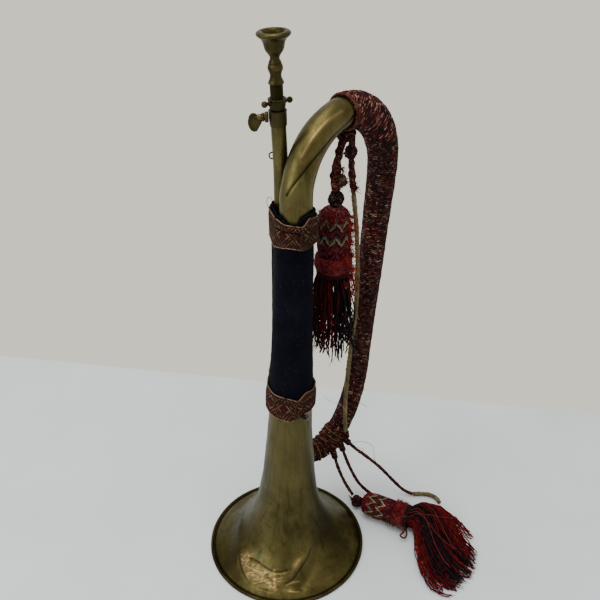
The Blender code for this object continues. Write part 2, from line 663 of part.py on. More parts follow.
def make_lying_tassel():
    """The second tassel, lying on its side on the surface that the bell stands on."""
    ball("lying_knot", Vector((0.0869, -0.0302, 0.0079)), 0.0074, "cord_cover")
    radius = 0.0135
    start = LYING_AXIS_START
    end = start + LYING_DIRECTION * LYING_HEAD
    head = turned("lying_head", tassel_head_profile(radius, LYING_HEAD), "tassel_red", 24)
    aim(head, end, -LYING_DIRECTION)
    band_end = end + LYING_DIRECTION * (LYING_BAND + GAP)
    band = [(0.0, LYING_BAND), (0.0128, LYING_BAND), (0.0140, 0.75 * LYING_BAND), (0.0140, 0.35 * LYING_BAND),
            (0.0118, 0.0), (0.0, 0.0)]
    aim(turned("lying_band", band, "tassel_red", 24), band_end, -LYING_DIRECTION)
    make_lying_fringe(band_end + LYING_DIRECTION * GAP)


def make_lying_fringe(neck):
    """Mop of threads that flops over its neck, spreads over the surface and sinks towards the tips."""
    main = Vector((0.10, -0.995, 0.0)).normalized()
    # reach from the neck, edges to the left and right of it, bottom and top
    sections = ((0.000, -0.0110, 0.0110, 0.0030, 0.0250), (0.010, -0.0120, 0.0300, 0.0012, 0.0275),
                (0.024, -0.0300, 0.0400, 0.0008, 0.0265), (0.042, -0.0500, 0.0375, 0.0006, 0.0215),
                (0.058, -0.0600, 0.0310, 0.0006, 0.0160), (0.072, -0.0500, 0.0250, 0.0006, 0.0100),
                (0.083, -0.0250, 0.0120, 0.0006, 0.0050))
    around = 20
    mesh = bpy.data.meshes.new("lying_fringe")
    shape = bmesh.new()
    rows = []
    for reach, left, right, low, high in sections:
        way = LYING_DIRECTION.lerp(main, min(1.0, reach / sections[2][0])).normalized()
        across = Vector((-way.y, way.x, 0.0))
        centre = neck + way * reach + across * ((left + right) / 2)
        centre.z = (low + high) / 2
        row = []
        for i in range(around):
            a = 2 * pi * i / around
            lift = Vector((0.0, 0.0, (high - low) / 2 * sin(a)))
            row.append(shape.verts.new(centre + across * ((right - left) / 2 * cos(a)) + lift))
        rows.append(row)
    for a_row, b_row in zip(rows, rows[1:]):
        for i in range(around):
            j = (i + 1) % around
            shape.faces.new((a_row[i], b_row[i], b_row[j], a_row[j]))
    shape.faces.new(rows[0])
    shape.faces.new(reversed(rows[-1]))
    bmesh.ops.recalc_face_normals(shape, faces=shape.faces)
    shape.to_mesh(mesh)
    shape.free()
    mesh.shade_smooth()
    place("lying_fringe", mesh, "tassel_dark")


# ---------------------------------------------------------------- build
clear_scene()
PARTS = new_collection("bugle")
CUTTERS = new_collection("cutters")
BASE = bpy.data.objects.new("base", None)
BASE.location = (-ORIGIN_X, 0.0, 0.0)
PARTS.objects.link(BASE)

make_bell()
make_rim()
make_joint_sleeves()
make_top_bow()
make_branch()
make_bottom_bow()
make_mouthpipe()
make_brace("upper_brace", 0.3100)
make_brace("lower_brace", 0.2260)
make_sleeve()
make_thumb_screw()
make_clamp_nut()
make_nut_arms()
make_shank()
make_mouthpiece()
make_chain_eye()
make_grip()
make_covers()
make_hitch()
make_hanging_tassel()
make_cords()
make_lying_tassel()
bpy.context.view_layer.update()
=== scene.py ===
"""Looks of the bugle: patinated brass, bound felt grip, corded covers, braided cords and two tassels.

Every shape is written in metres with the centre of the bell's rim as zero, and Bag.build() moves it
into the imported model's frame.  Angles are in radians unless a name says degrees.
"""

from math import cos, pi, prod, radians, sin

import bpy
import numpy as np
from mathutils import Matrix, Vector


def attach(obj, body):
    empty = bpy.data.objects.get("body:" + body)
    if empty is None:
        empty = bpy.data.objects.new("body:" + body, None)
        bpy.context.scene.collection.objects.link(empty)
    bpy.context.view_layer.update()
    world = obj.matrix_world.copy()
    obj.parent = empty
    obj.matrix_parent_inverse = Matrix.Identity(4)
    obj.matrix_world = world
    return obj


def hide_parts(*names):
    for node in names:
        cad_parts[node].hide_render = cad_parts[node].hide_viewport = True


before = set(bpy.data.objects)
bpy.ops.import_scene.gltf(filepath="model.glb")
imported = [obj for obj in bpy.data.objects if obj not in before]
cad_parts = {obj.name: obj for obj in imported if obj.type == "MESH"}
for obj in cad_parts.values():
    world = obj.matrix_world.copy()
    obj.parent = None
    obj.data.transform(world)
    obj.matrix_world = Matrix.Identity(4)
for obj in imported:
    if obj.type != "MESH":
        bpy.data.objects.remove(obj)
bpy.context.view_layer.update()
NEAR_SIDE = np.array((0.643, -0.766, 0.0))    # level, to the right as the camera sees it
AWAY = np.array((0.766, 0.643, 0.0))          # level, away from the camera
SHIFT = np.array((-0.03765, 0.0, 0.0))       # from the rim's centre to the frame's origin
MM = 0.001

# ---------------------------------------------------------------- camera, floor and lights
VIEW_SIDE = Vector((cos(radians(50.0)), -sin(radians(50.0)), 0.0))
VIEW_AHEAD = Vector((sin(radians(50.0)), cos(radians(50.0)), 0.0))
CAMERA_BACK, CAMERA_SIDE, CAMERA_HEIGHT = 0.53, 0.0142, 0.618
CAMERA_PITCH = radians(30.8)
CAMERA_LENS = 42.66


def make_camera():
    camera = bpy.data.objects.new("camera", bpy.data.cameras.new("camera"))
    bpy.context.scene.collection.objects.link(camera)
    camera.data.lens = CAMERA_LENS
    camera.data.sensor_width = 36.0
    height = Vector((SHIFT[0], 0.0, CAMERA_HEIGHT))
    camera.location = VIEW_AHEAD * -CAMERA_BACK + VIEW_SIDE * CAMERA_SIDE + height
    look = VIEW_AHEAD * cos(CAMERA_PITCH) - Vector((0.0, 0.0, sin(CAMERA_PITCH)))
    camera.rotation_euler = look.to_track_quat("-Z", "Y").to_euler()
    bpy.context.scene.camera = camera


def make_light(name, place, target, size, power, colour):
    lamp = bpy.data.lights.new(name, "AREA")
    lamp.shape = "RECTANGLE"
    lamp.size, lamp.size_y = size
    lamp.energy = power
    lamp.color = colour
    holder = bpy.data.objects.new(name, lamp)
    bpy.context.scene.collection.objects.link(holder)
    holder.location = place
    holder.rotation_euler = (Vector(target) - Vector(place)).to_track_quat("-Z", "Y").to_euler()


def make_surroundings():
    world = bpy.data.worlds.new("room")
    bpy.context.scene.world = world
    world.use_nodes = True
    back = world.node_tree.nodes["Background"]
    back.inputs["Color"].default_value = (0.605, 0.59, 0.5, 1.0)
    back.inputs["Strength"].default_value = 1.56
    make_light("ceiling", (-0.2, 0.1, 1.9), (0.0, 0.0, 0.2), (1.5, 0.9), 24.0, (1.0, 0.98, 0.94))
    make_light("window", (-1.5, 0.5, 1.1), (0.0, 0.0, 0.25), (0.9, 1.2), 13.0, (0.93, 0.97, 1.0))
    # the table top ends at a straight edge behind the bugle
    far_a, far_b = np.array((0.0443, 0.4527)), np.array((0.3746, -0.0988))
    run = (far_b - far_a) / np.linalg.norm(far_b - far_a)
    near = np.array((run[1], -run[0]))
    corners = [far_a - run * 3.0, far_b + run * 3.0, far_b + run * 3.0 + near * 4.0,
        far_a - run * 3.0 + near * 4.0]
    mesh = bpy.data.meshes.new("table_top")
    mesh.from_pydata([(x + SHIFT[0], y, 0.0) for x, y in corners], [], [(0, 1, 2, 3)])
    table = bpy.data.objects.new("table_top", mesh)
    bpy.context.scene.collection.objects.link(table)
    look = Look("table_paint", Roughness=0.55)
    tone = look.noise(9.0, 5.0)
    look.feed("Base Color", look.ramp(tone, ((0.3, (0.58, 0.62, 0.69)), (0.7, (0.63, 0.68, 0.76)))))
    mesh.materials.append(look.material)


# ---------------------------------------------------------------- node helpers
class Look:
    """One material, with short ways to add nodes to it."""

    def __init__(self, name, **fixed):
        self.material = bpy.data.materials.new(name)
        self.material.use_nodes = True
        self.tree = self.material.node_tree
        self.shader = self.tree.nodes["Principled BSDF"]
        for socket, value in fixed.items():
            self.shader.inputs[socket.replace("_", " ")].default_value = value
        where = self.add("TexCoord").outputs
        self.place, self.uv = where["Object"], where["UV"]

    def add(self, kind, inputs=None, **settings):
        node = self.tree.nodes.new("ShaderNode" + kind)
        for name, value in settings.items():
            setattr(node, name, value)
        for key, value in (inputs or {}).items():
            self.put(node.inputs[key], value)
        return node

    def put(self, socket, value):
        if isinstance(value, bpy.types.NodeSocket):
            self.tree.links.new(value, socket)
        elif isinstance(value, (tuple, list)) and len(value) == 3 and len(socket.default_value) == 4:
            socket.default_value = (*value, 1.0)
        else:
            socket.default_value = value

    def feed(self, socket, value):
        self.put(self.shader.inputs[socket], value)

    def scaled(self, vector, scale, turn=(0.0, 0.0, 0.0)):
        return self.add("Mapping", {"Vector": vector, "Scale": scale, "Rotation": turn}).outputs["Vector"]

    def split(self, vector):
        return self.add("SeparateXYZ", {"Vector": vector}).outputs

    def math(self, operation, a, b=0.0, clamp=False):
        return self.add("Math", {0: a, 1: b}, operation=operation, use_clamp=clamp).outputs[0]

    def times(self, a, b, clamp=False):
        return self.math("MULTIPLY", a, b, clamp)

    def plus(self, a, b):
        return self.math("ADD", a, b)

    def minus(self, a, b):
        return self.math("SUBTRACT", a, b)

    def over(self, a, b):
        return self.math("DIVIDE", a, b)

    def wave(self, value, step):
        """A sine that repeats at each step of the value."""
        return self.math("SINE", self.times(value, 2 * pi / step))

    def noise(self, scale, detail=3.0, rough=0.55, warp=0.0, vector=None, turn=(0.0, 0.0, 0.0)):
        """Noise from 0 to 1; three scales draw it out along the axes."""
        vector = self.place if vector is None else vector
        if isinstance(scale, tuple):
            vector, scale = self.scaled(vector, scale, turn), 1.0
        inputs = {"Vector": vector, "Scale": scale, "Detail": detail, "Roughness": rough, "Distortion": warp}
        return self.add("TexNoise", inputs).outputs["Fac"]

    def cells(self, vector, loose, output="Color"):
        return self.add("TexVoronoi", {"Vector": vector, "Scale": 1.0, "Randomness": loose}).outputs[output]

    def mix(self, share, a, b, blend="MIX"):
        node = self.add("Mix", data_type="RGBA", blend_type=blend)
        self.put(node.inputs["Factor"], share)
        self.put(node.inputs[6], a)
        self.put(node.inputs[7], b)
        return node.outputs[2]

    def ramp(self, share, stops, hard=False):
        node = self.add("ValToRGB", {"Fac": share})
        band = node.color_ramp
        band.interpolation = "CONSTANT" if hard else "LINEAR"
        while len(band.elements) < len(stops):
            band.elements.new(0.5)
        for element, (position, colour) in zip(band.elements, stops):
            element.position = position
            element.color = (*colour, 1.0)
        return node.outputs["Color"]

    def steps(self, share, stops):
        """A grey ramp, for roughness, masks and heights."""
        return self.ramp(share, [(position, (v, v, v)) for position, v in stops])

    def stain(self, base, colour, key, *stops):
        """The base with a colour over it, as strong as the grey steps of the key say."""
        return self.mix(self.steps(key, stops), base, colour)

    def bump(self, height, depth, strength=1.0):
        node = self.add("Bump", {"Height": height, "Distance": depth, "Strength": strength})
        self.feed("Normal", node.outputs["Normal"])


# ---------------------------------------------------------------- shape helpers
def unit(v):
    return v / np.maximum(np.linalg.norm(v, axis=-1, keepdims=True), 1e-12)


def upward(height):
    return np.array((0.0, 0.0, height))


def lookup(value, table):
    """The value's place in a table of (position, number) rows."""
    return np.interp(value, *zip(*table))


def turns_of(count):
    """Angles of a number of even steps once round."""
    return np.arange(count) / count * 2 * pi


def circle(turn, one, two):
    return np.cos(turn)[:, None] * one + np.sin(turn)[:, None] * two


def ways_round(way):
    """A direction, and two more that are square to it and to each other."""
    way = unit(np.array(way, float))
    side = unit(np.cross(way, (0.31, 0.95, 0.05)))
    return way, side, np.cross(way, side)


def run_along(line):
    return np.r_[0.0, np.cumsum(np.linalg.norm(np.diff(line, axis=0), axis=1))]


def evenly(line, step):
    """The same line with points about one step apart."""
    run = run_along(line)
    goal = np.linspace(0.0, run[-1], max(2, round(run[-1] / step)) + 1)
    return np.stack([np.interp(goal, run, line[:, i]) for i in range(line.shape[1])], axis=1)


def spline(knots, step):
    """Points about one step apart on a smooth curve through the knots."""
    k = np.array(knots, float)
    ends = np.vstack([2 * k[0] - k[1], k, 2 * k[-1] - k[-2]])
    t = np.linspace(0.0, 1.0, 24, endpoint=False)[:, None]
    runs = []
    for a, b, c, d in zip(ends, ends[1:], ends[2:], ends[3:]):
        arc = 2 * b + (c - a) * t + (2 * a - 5 * b + 4 * c - d) * t ** 2
        runs.append(0.5 * (arc + (3 * b - a - 3 * c + d) * t ** 3))
    return evenly(np.vstack(runs + [k[-1:]]), step)


def frames(line, first):
    """Directions along, to the side of and above a line, turning as little as they can."""
    ahead = unit(np.gradient(line, axis=0))
    side = np.array(first, float)
    sides = []
    for way in ahead:
        side = unit(side - way * (side @ way))
        sides.append(side)
    sides = np.array(sides)
    return ahead, sides, np.cross(ahead, sides)


def tube_grid(line, radius, around, first=(0.0, 1.0, 0.0)):
    """Rings of points round a line; radius is a number, one per point, or a function of (run, angle)."""
    run = run_along(line)
    angle = turns_of(around)
    _, side, above = frames(line, first)
    if callable(radius):
        reach = radius(run[:, None], angle[None, :])
    else:
        reach = np.broadcast_to(np.reshape(radius, (-1, 1)), (len(line), around))
    spread = np.cos(angle)[None, :, None] * side[:, None] + np.sin(angle)[None, :, None] * above[:, None]
    return line[:, None] + reach[..., None] * spread


def twist(radius, depth, pitch):
    """Radius of a thread of two plies, as a function of run and angle."""
    return lambda run, angle: radius * (1.0 + depth * np.cos(2 * angle - run / pitch * 2 * pi))


def ripple(points, size, seed, waves=7):
    """A smooth random field, about -1 to 1, whose lumps are about one size across."""
    rng = np.random.default_rng(seed)
    ways = unit(rng.normal(size=(waves, 3))) * (2 * pi / size * rng.uniform(0.5, 1.5, (waves, 1)))
    return np.sin(points @ ways.T + rng.uniform(0, 2 * pi, waves)).sum(-1) / np.sqrt(waves) * 0.8


def bumps(grid, *rows):
    """Ripples of several (size, seed, depth) rows together, ready to scale a direction."""
    return sum(ripple(grid, size, seed) * depth for size, seed, depth in rows)[..., None]


def bell_curve(distance, width):
    return np.exp(-(distance / width) ** 2)


def smooth_table(table, count):
    """Many (position, value) rows on a smooth curve through a short table of them."""
    return spline(table, run_along(np.array(table))[-1] / count)


class Bag:
    """Collects grids of points and turns them into one mesh piece."""

    def __init__(self):
        self.points, self.corners, self.sizes, self.slots, self.uvs, self.marks = [], [], [], [], [], []
        self.count = 0

    def grid(self, grid, run=None, girth=None, slot=0, wrap=True, caps=False, mark=None):
        rows, around = grid.shape[:2]
        run = run_along(grid[:, 0]) if run is None else run
        if girth is None:
            ring = np.linalg.norm(np.diff(np.vstack([grid[rows // 2], grid[rows // 2, :1]]), axis=0), axis=1)
            girth = ring.sum() if wrap else ring[:-1].sum()
        columns = around if wrap else around - 1
        i, j = np.meshgrid(np.arange(rows - 1), np.arange(columns), indexing="ij")
        i, j = i.ravel(), j.ravel()
        quad_rows = np.stack([i, i, i + 1, i + 1], 1)
        quad_cols = np.stack([j, j + 1, j + 1, j], 1)
        self.corners.append((quad_rows * around + quad_cols % around).ravel() + self.count)
        self.uvs.append(np.stack([quad_cols / columns * girth, run[quad_rows]], -1).reshape(-1, 2))
        self.sizes.append(np.full(len(i), 4))
        self.slots.append(np.full(len(i), slot))
        self.points.append(grid.reshape(-1, 3))
        marks = np.zeros(rows * around) if mark is None else np.asarray(mark).ravel()
        self.marks.append(marks)
        start, self.count = self.count, self.count + rows * around
        if caps:
            for row, flip in ((0, True), (rows - 1, False)):
                self.cap(grid[row], start + row * around, flip, slot, run[row], marks[row * around])
        return self

    def cap(self, ring, first, flip, slot, run, mark):
        around = len(ring)
        j = np.arange(around)
        centre = np.full(around, self.count)
        fan = np.stack([first + j, first + (j + 1) % around, centre], 1)
        if flip:
            fan = fan[:, ::-1]
        self.corners.append(fan.ravel())
        self.uvs.append(np.tile((0.0, run), (around * 3, 1)))
        self.sizes.append(np.full(around, 3))
        self.slots.append(np.full(around, slot))
        self.points.append(ring.mean(0)[None])
        self.marks.append(np.array([mark]))
        self.count += 1

    def tube(self, line, radius, around=8, slot=0, caps=True, first=(0.0, 1.0, 0.0), mark=None):
        return self.grid(tube_grid(line, radius, around, first), run_along(line), slot=slot, caps=caps,
            mark=mark)

    def shell(self, outer, inner, slot=0, mark=None):
        """Closed wall between two grids of one shape, with both ends joined."""
        whole = np.concatenate([outer, inner[::-1], outer[:1]])
        marks = None if mark is None else np.concatenate([mark, mark[::-1], mark[:1]])
        return self.grid(whole, slot=slot, mark=marks)

    def build(self, name, looks, slot, replaces=(), sharp=None, body="instrument"):
        """Make the piece and let it ride on a body."""
        mesh = bpy.data.meshes.new(name)
        points = np.vstack(self.points) + SHIFT
        corners, sizes = np.concatenate(self.corners), np.concatenate(self.sizes)
        mesh.vertices.add(len(points))
        mesh.vertices.foreach_set("co", points.ravel())
        mesh.loops.add(len(corners))
        mesh.loops.foreach_set("vertex_index", corners.astype(np.int32))
        mesh.polygons.add(len(sizes))
        mesh.polygons.foreach_set("loop_start", np.r_[0, np.cumsum(sizes)[:-1]].astype(np.int32))
        mesh.polygons.foreach_set("material_index", np.concatenate(self.slots).astype(np.int32))
        mesh.update(calc_edges=True)
        mesh.uv_layers.new(name="UVMap").data.foreach_set("uv",
            np.vstack(self.uvs).astype(np.float32).ravel())
        if any(m.any() for m in self.marks):
            # a mark for each point: rub wear and painted highlights above zero, painted shade in creases below
            # zero
            worn = mesh.attributes.new("worn", "FLOAT", "POINT")
            worn.data.foreach_set("value", np.concatenate(self.marks).astype(np.float32))
        mesh.validate()
        mesh.shade_smooth()
        if sharp:
            mesh.set_sharp_from_angle(angle=radians(sharp))
        for look in looks if isinstance(looks, (list, tuple)) else [looks]:
            mesh.materials.append(look)
        piece = bpy.data.objects.new(name, mesh)
        bpy.context.scene.collection.objects.link(piece)
        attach(piece, body)
        if replaces:
            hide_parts(*replaces)
        return piece


def turned_grid(profile, point, way, around=64):
    """A turned shape: (radius, height) rows, stood at a point along a direction."""
    profile = np.array(profile, float)
    way, side, above = ways_round(way)
    angle = turns_of(around)
    spread = circle(angle, side, above)
    return np.array(point) + profile[:, 1][:, None, None] * way + profile[:, 0][:, None, None] * spread[None]


def closed_grid(profile, point, way, around=64):
    """A turned shape whose profile comes back to where it starts."""
    return turned_grid([*profile, profile[0]], point, way, around)


# ---------------------------------------------------------------- lines and radii of the instrument
BELL_LEAN = 0.0442
BELL_OUTLINE = ((0.0014, 0.0786), (0.003, 0.0771), (0.006, 0.0728), (0.01, 0.0665), (0.02, 0.055),
    (0.03, 0.046), (0.045, 0.0378), (0.06, 0.0328), (0.08, 0.0287), (0.11, 0.0254), (0.15, 0.0222),
    (0.2, 0.0194), (0.25, 0.0173), (0.3, 0.0157), (0.366, 0.0142))
BELL_WALL = 0.0011
BELL_TOP = 0.366
BOW_Z, BOW_RADIUS = 0.386, 0.063
BRANCH_LEAN = 0.111
PIPE_FOOT = np.array((0.032, 0.028, 0.125))
PIPE_SLOPE = np.array((-0.0353, -0.0263, 1.0))
TOP_SLOPE = np.array((-0.06, -0.0024, 1.0))
PIPE_KNEE, PIPE_TOP = 0.41, 0.4597


def bell_radius(z):
    return lookup(z, BELL_OUTLINE)


def bow_point(angle):
    middle = BELL_LEAN * BOW_Z + BOW_RADIUS
    return np.array((middle + BOW_RADIUS * cos(angle), 0.0, BOW_Z + BOW_RADIUS * sin(angle)))


def branch_point(z):
    return np.array((BELL_LEAN * BOW_Z + 2 * BOW_RADIUS - BRANCH_LEAN * (BOW_Z - z), 0.0, z))


def pipe_point(z):
    return PIPE_FOOT + PIPE_SLOPE * (min(z, PIPE_KNEE) - PIPE_FOOT[2]) + TOP_SLOPE * max(0.0, z - PIPE_KNEE)


def pipe_radius(z):
    return 0.0066 - 0.0004 * (z - PIPE_FOOT[2]) / (PIPE_TOP - PIPE_FOOT[2])


def bottom_bow_point(t):
    a, d = branch_point(0.175), PIPE_FOOT
    b = a + unit(np.array((-BRANCH_LEAN, 0.0, -1.0))) * 0.133
    c = d - unit(PIPE_SLOPE) * 0.076
    s = 1.0 - t
    return s ** 3 * a + 3 * s * s * t * b + 3 * s * t * t * c + t ** 3 * d


def line_of(function, low, high, step):
    return evenly(np.array([function(low + (high - low) * i / 240) for i in range(241)]), step)


# ---------------------------------------------------------------- brass
BRASS_DARK = (0.018, 0.013, 0.005)
BRASS_OLIVE = (0.052, 0.043, 0.013)
BRASS_MID = (0.105, 0.088, 0.032)
# colour of brass polished by rubbing, also laid on as painted highlights
BRASS_RUB_AND_HIGHLIGHT = (0.29, 0.195, 0.085)
BRASS_RED = (0.1, 0.035, 0.018)
BRASS_GREEN = (0.04, 0.07, 0.038)


def shade(colour, *shares):
    return tuple(c * prod(shares) for c in colour)


def brass_look(name, tint=1.0, rough=0.34, grime=0.5, stained=False):
    """Old brass: olive patina in clouds, high spots polished by rubbing, painted highlights and painted shade
    in creases, a few red and green spots, fine scratches.
    """
    look = Look(name, Metallic=1.0)
    clouds = look.noise(26.0, 6.0, 0.6, 0.4)
    base = look.ramp(clouds, ((0.3, shade(BRASS_OLIVE, tint)), (0.52, shade(BRASS_MID, tint)),
        (0.75, shade(BRASS_MID, tint, 1.25))))
    streak = look.noise((240.0, 240.0, 18.0), 4.0, 0.6)
    base = look.stain(base, shade(BRASS_OLIVE, tint), streak, (0.45, 0.0), (0.7, 0.4))
    base = look.stain(base, BRASS_DARK, look.noise((75.0, 75.0, 9.0), 5.0, 0.6, 0.5), (0.5, 0.0),
        (0.68, 0.6))
    base = look.stain(base, BRASS_DARK, look.noise(7.0, 4.0, 0.5, 0.8), (0.48, 0.0), (0.66, grime))
    base = look.stain(base, BRASS_DARK, look.noise(420.0, 2.0, 0.5), (0.66, 0.0), (0.74, 0.6))
    base = look.stain(base, BRASS_RED, look.noise(55.0, 2.0, 0.5), (0.68, 0.0), (0.76, 0.35))
    if stained:
        low = look.steps(look.split(look.place)[2], ((0.37, 1.0), (0.4, 0.0)))
        stain = look.times(look.steps(look.noise(95.0, 3.0, 0.6), ((0.56, 0.0), (0.64, 0.85))), low)
        base = look.mix(stain, base, (0.12, 0.026, 0.012))
    base = look.stain(base, BRASS_GREEN, look.noise((62.4, 43.2, 52.8), 2.0, 0.5), (0.7, 0.0), (0.78, 0.5))
    # the mesh's mark is above zero for brass polished by rubbing and for painted highlights, and below zero
    # for painted shade in creases
    worn = look.add("Attribute", attribute_name="worn").outputs["Fac"]
    base = look.mix(look.times(worn, 1.0, clamp=True), base, BRASS_RUB_AND_HIGHLIGHT)
    base = look.mix(look.times(worn, -1.0, clamp=True), base, shade(BRASS_DARK, 0.35))
    look.feed("Base Color", base)
    scratch = look.noise((90.0, 900.0, 140.0), 2.0, 0.5, turn=(0.5, 0.3, 0.9))
    haze = look.mix(0.5, look.steps(clouds, ((0.3, rough + 0.2), (0.7, rough + 0.04))), look.steps(streak,
        ((0.4, rough + 0.02), (0.7, rough + 0.18))))
    haze = look.mix(look.times(worn, 0.8, clamp=True), haze, (0.26, 0.26, 0.26))
    look.feed("Roughness", haze)
    look.bump(look.plus(look.noise(90.0, 3.0), look.times(scratch, 0.18)), 0.0006, 0.35)
    return look.material


# folds in the bell: (push in, width, colour mark, points on the wall); a negative push stands out. A mark
# above zero is rub wear and painted highlight along a ridge, one below zero is painted shade along creases and
# over one broad patch; the short dark strokes high up are scratches
BELL_FOLDS = ((0.0013, 0.008, 0.0, ((0.014, 0.071, 0.006), (-0.033, 0.049, 0.013), (-0.066, 0.028, 0.007))),
    (-0.0009, 0.0045, 0.0, ((0.005, 0.058, 0.015), (-0.031, 0.037, 0.024), (-0.06, 0.012, 0.015))),
    # raised S-shaped ridge with a painted highlight, then the painted shade of the crease beside it
    (-0.0008, 0.003, 0.08, ((-0.011, -0.042, 0.033), (-0.015, -0.0428, 0.029), (-0.0225, -0.043, 0.025),
        (-0.032, -0.0425, 0.0205), (-0.042, -0.043, 0.015))),
    (0.0008, 0.0011, -0.55, ((-0.0129, -0.0438, 0.0299), (-0.0177, -0.0456, 0.0263), (-0.0242, -0.046,
        0.0228), (-0.0341, -0.046, 0.0176), (-0.0432, -0.0454, 0.013), (-0.0499, -0.0422, 0.0107))),
    # short raised ridges near the crumpled patch: rub wear with painted highlights
    (-0.0004, 0.003, 0.4, ((-0.029, -0.0408, 0.0242), (-0.0335, -0.0412, 0.0218))),
    (-0.0005, 0.001, 0.45, ((-0.04, -0.0505, 0.0115), (-0.0441, -0.0478, 0.0115), (-0.048, -0.045, 0.0112))),
    (-0.0005, 0.0011, 0.45, ((-0.046, -0.0555, 0.0065), (-0.0494, -0.0524, 0.0066), (-0.052, -0.049,
        0.007))),
    (0.0016, 0.006, 0.0, ((-0.005, -0.048, 0.027), (-0.028, -0.053, 0.013), (-0.041, -0.054, 0.008))),
    # painted shade along the creases round the crumpled patch
    (0.0009, 0.0012, -0.35, ((-0.056, 0.006, 0.0185), (-0.0545, -0.006, 0.0196), (-0.0525, -0.0232, 0.0173),
        (-0.0485, -0.031, 0.0172), (-0.0415, -0.0375, 0.0186))),
    (0.0007, 0.0012, -0.3, ((-0.0565, 0.0153, 0.0163), (-0.064, 0.008, 0.0112), (-0.0676, 0.0018, 0.009),
        (-0.0702, -0.0093, 0.007), (-0.0685, -0.022, 0.0062), (-0.0642, -0.0336, 0.006))),
    # short raised ridges: rub wear with painted highlights
    (-0.0006, 0.0012, 0.5, ((-0.05, -0.027, 0.018), (-0.055, -0.032, 0.0118), (-0.0596, -0.0374, 0.0074))),
    (-0.0005, 0.001, 0.4, ((-0.0613, 0.0005, 0.014), (-0.0598, -0.009, 0.0147), (-0.056, -0.021, 0.015))),
    # broad shallow dent with painted shade on the right of the throat
    (0.0004, 0.018, -0.55, ((0.011, -0.047, 0.03), (0.02, -0.048, 0.023))),
    # soft painted highlight below it, where nothing is pushed
    (0.0, 0.008, 0.1, ((-0.018, -0.056, 0.016), (-0.024, -0.059, 0.011))),
    (0.001, 0.012, 0.0, ((0.02, -0.045, 0.028), (0.034, -0.052, 0.014))),
    (-0.0007, 0.005, 0.0, ((-0.02, 0.06, 0.012), (-0.044, 0.05, 0.008))),
    (0.0008, 0.014, 0.0, ((-0.01, 0.0, 0.1), (-0.022, -0.012, 0.08))),
    (0.0003, 0.0008, -0.55, ((-0.03, 0.006, 0.058), (-0.0305, -0.002, 0.056), (-0.0285, -0.009, 0.056))),
    (0.0003, 0.0007, -0.5, ((-0.0275, 0.004, 0.064), (-0.0278, -0.003, 0.0625), (-0.0262, -0.008, 0.062))),
    (0.0003, 0.0007, -0.45, ((-0.033, 0.002, 0.052), (-0.0325, -0.006, 0.0505), (-0.03, -0.011, 0.051))),
    (0.0002, 0.0006, -0.4, ((-0.025, 0.002, 0.07), (-0.025, -0.004, 0.069), (-0.024, -0.007, 0.069))))
# crumpled metal on the flare: (centre, size)
BELL_CRUMPLES = (((-0.057, 0.006, 0.0165), 0.008), ((-0.06, -0.009, 0.014), 0.01),
    ((-0.058, -0.023, 0.0115), 0.0095), ((-0.051, -0.033, 0.013), 0.007), ((-0.064, -0.017, 0.008), 0.007),
    ((-0.06, -0.033, 0.008), 0.006))


def near_line(points, knots):
    """Distance from each point to the line through the knots."""
    best = np.full(points.shape[:-1], 9.0)
    for a, b in zip(np.array(knots), np.array(knots)[1:]):
        share = np.clip(((points - a) @ (b - a)) / ((b - a) @ (b - a)), 0.0, 1.0)
        best = np.minimum(best, np.linalg.norm(points - (a + share[..., None] * (b - a)), axis=-1))
    return best


def bell_damage(points):
    """How far the wall is pushed in at each point, and its colour mark: rub wear and painted highlights above
    zero, painted shade below.
    """
    push = ripple(points, 0.05, 5) * 0.00035 + ripple(points, 0.02, 6) * 0.00012
    rubbing_and_painted_light = np.zeros(points.shape[:-1])
    for depth, width, mark, knots in BELL_FOLDS:
        close = bell_curve(near_line(points, spline(knots, 0.003)), width)
        push += depth * close
        rubbing_and_painted_light += mark * close
    fold = bell_curve(ripple(points, 0.016, 11), 0.3)
    small = bell_curve(ripple(points, 0.0075, 12), 0.32)
    reach = np.zeros(points.shape[:-1])
    for centre, size in BELL_CRUMPLES:
        reach = np.maximum(reach, bell_curve(np.linalg.norm(points - np.array(centre), axis=-1), size))
    close = np.clip(reach * 1.6 - 0.2, 0.0, 1.0)
    push -= close * (0.0007 * fold + 0.00034 * small)
    # the crumpled patch shows rub wear all over, with painted highlights along its fold lines
    rubbing_and_painted_light += close * (0.16 + 0.3 * fold + 0.24 * small - 0.12 * ripple(points, 0.006, 13))
    return push, np.clip(rubbing_and_painted_light, -1.0, 1.0)


def make_bell():
    rows = smooth_table(BELL_OUTLINE, 700)
    # fine rows on the flare, where the wall is creased, and coarse ones above
    rows = rows[np.r_[0:150, 150:len(rows) - 4:5, len(rows) - 1]]
    height, radius = rows[:, :1], rows[:, 1:]
    run = np.gradient(rows, axis=0)
    slope = np.hypot(run[:, :1], run[:, 1:])
    out_r, out_z = run[:, :1] / slope, -run[:, 1:] / slope
    angle = turns_of(340)
    level = np.ones(len(angle))
    grid = np.stack([BELL_LEAN * height + radius * np.cos(angle), radius * np.sin(angle), height * level],
        -1)
    square = np.stack([out_r * np.cos(angle), out_r * np.sin(angle), out_z * level], -1)
    push, rubbing_and_painted_light = bell_damage(grid)
    calm = np.clip((height - 0.0016) / 0.006, 0.0, 1.0)
    outer = grid - square * (push * calm)[..., None]
    Bag().shell(outer, outer - square * BELL_WALL, mark=rubbing_and_painted_light).build("bell_body", brass_look("bell_brass",
        0.82, 0.34, 0.75), "brass", ["bell"])


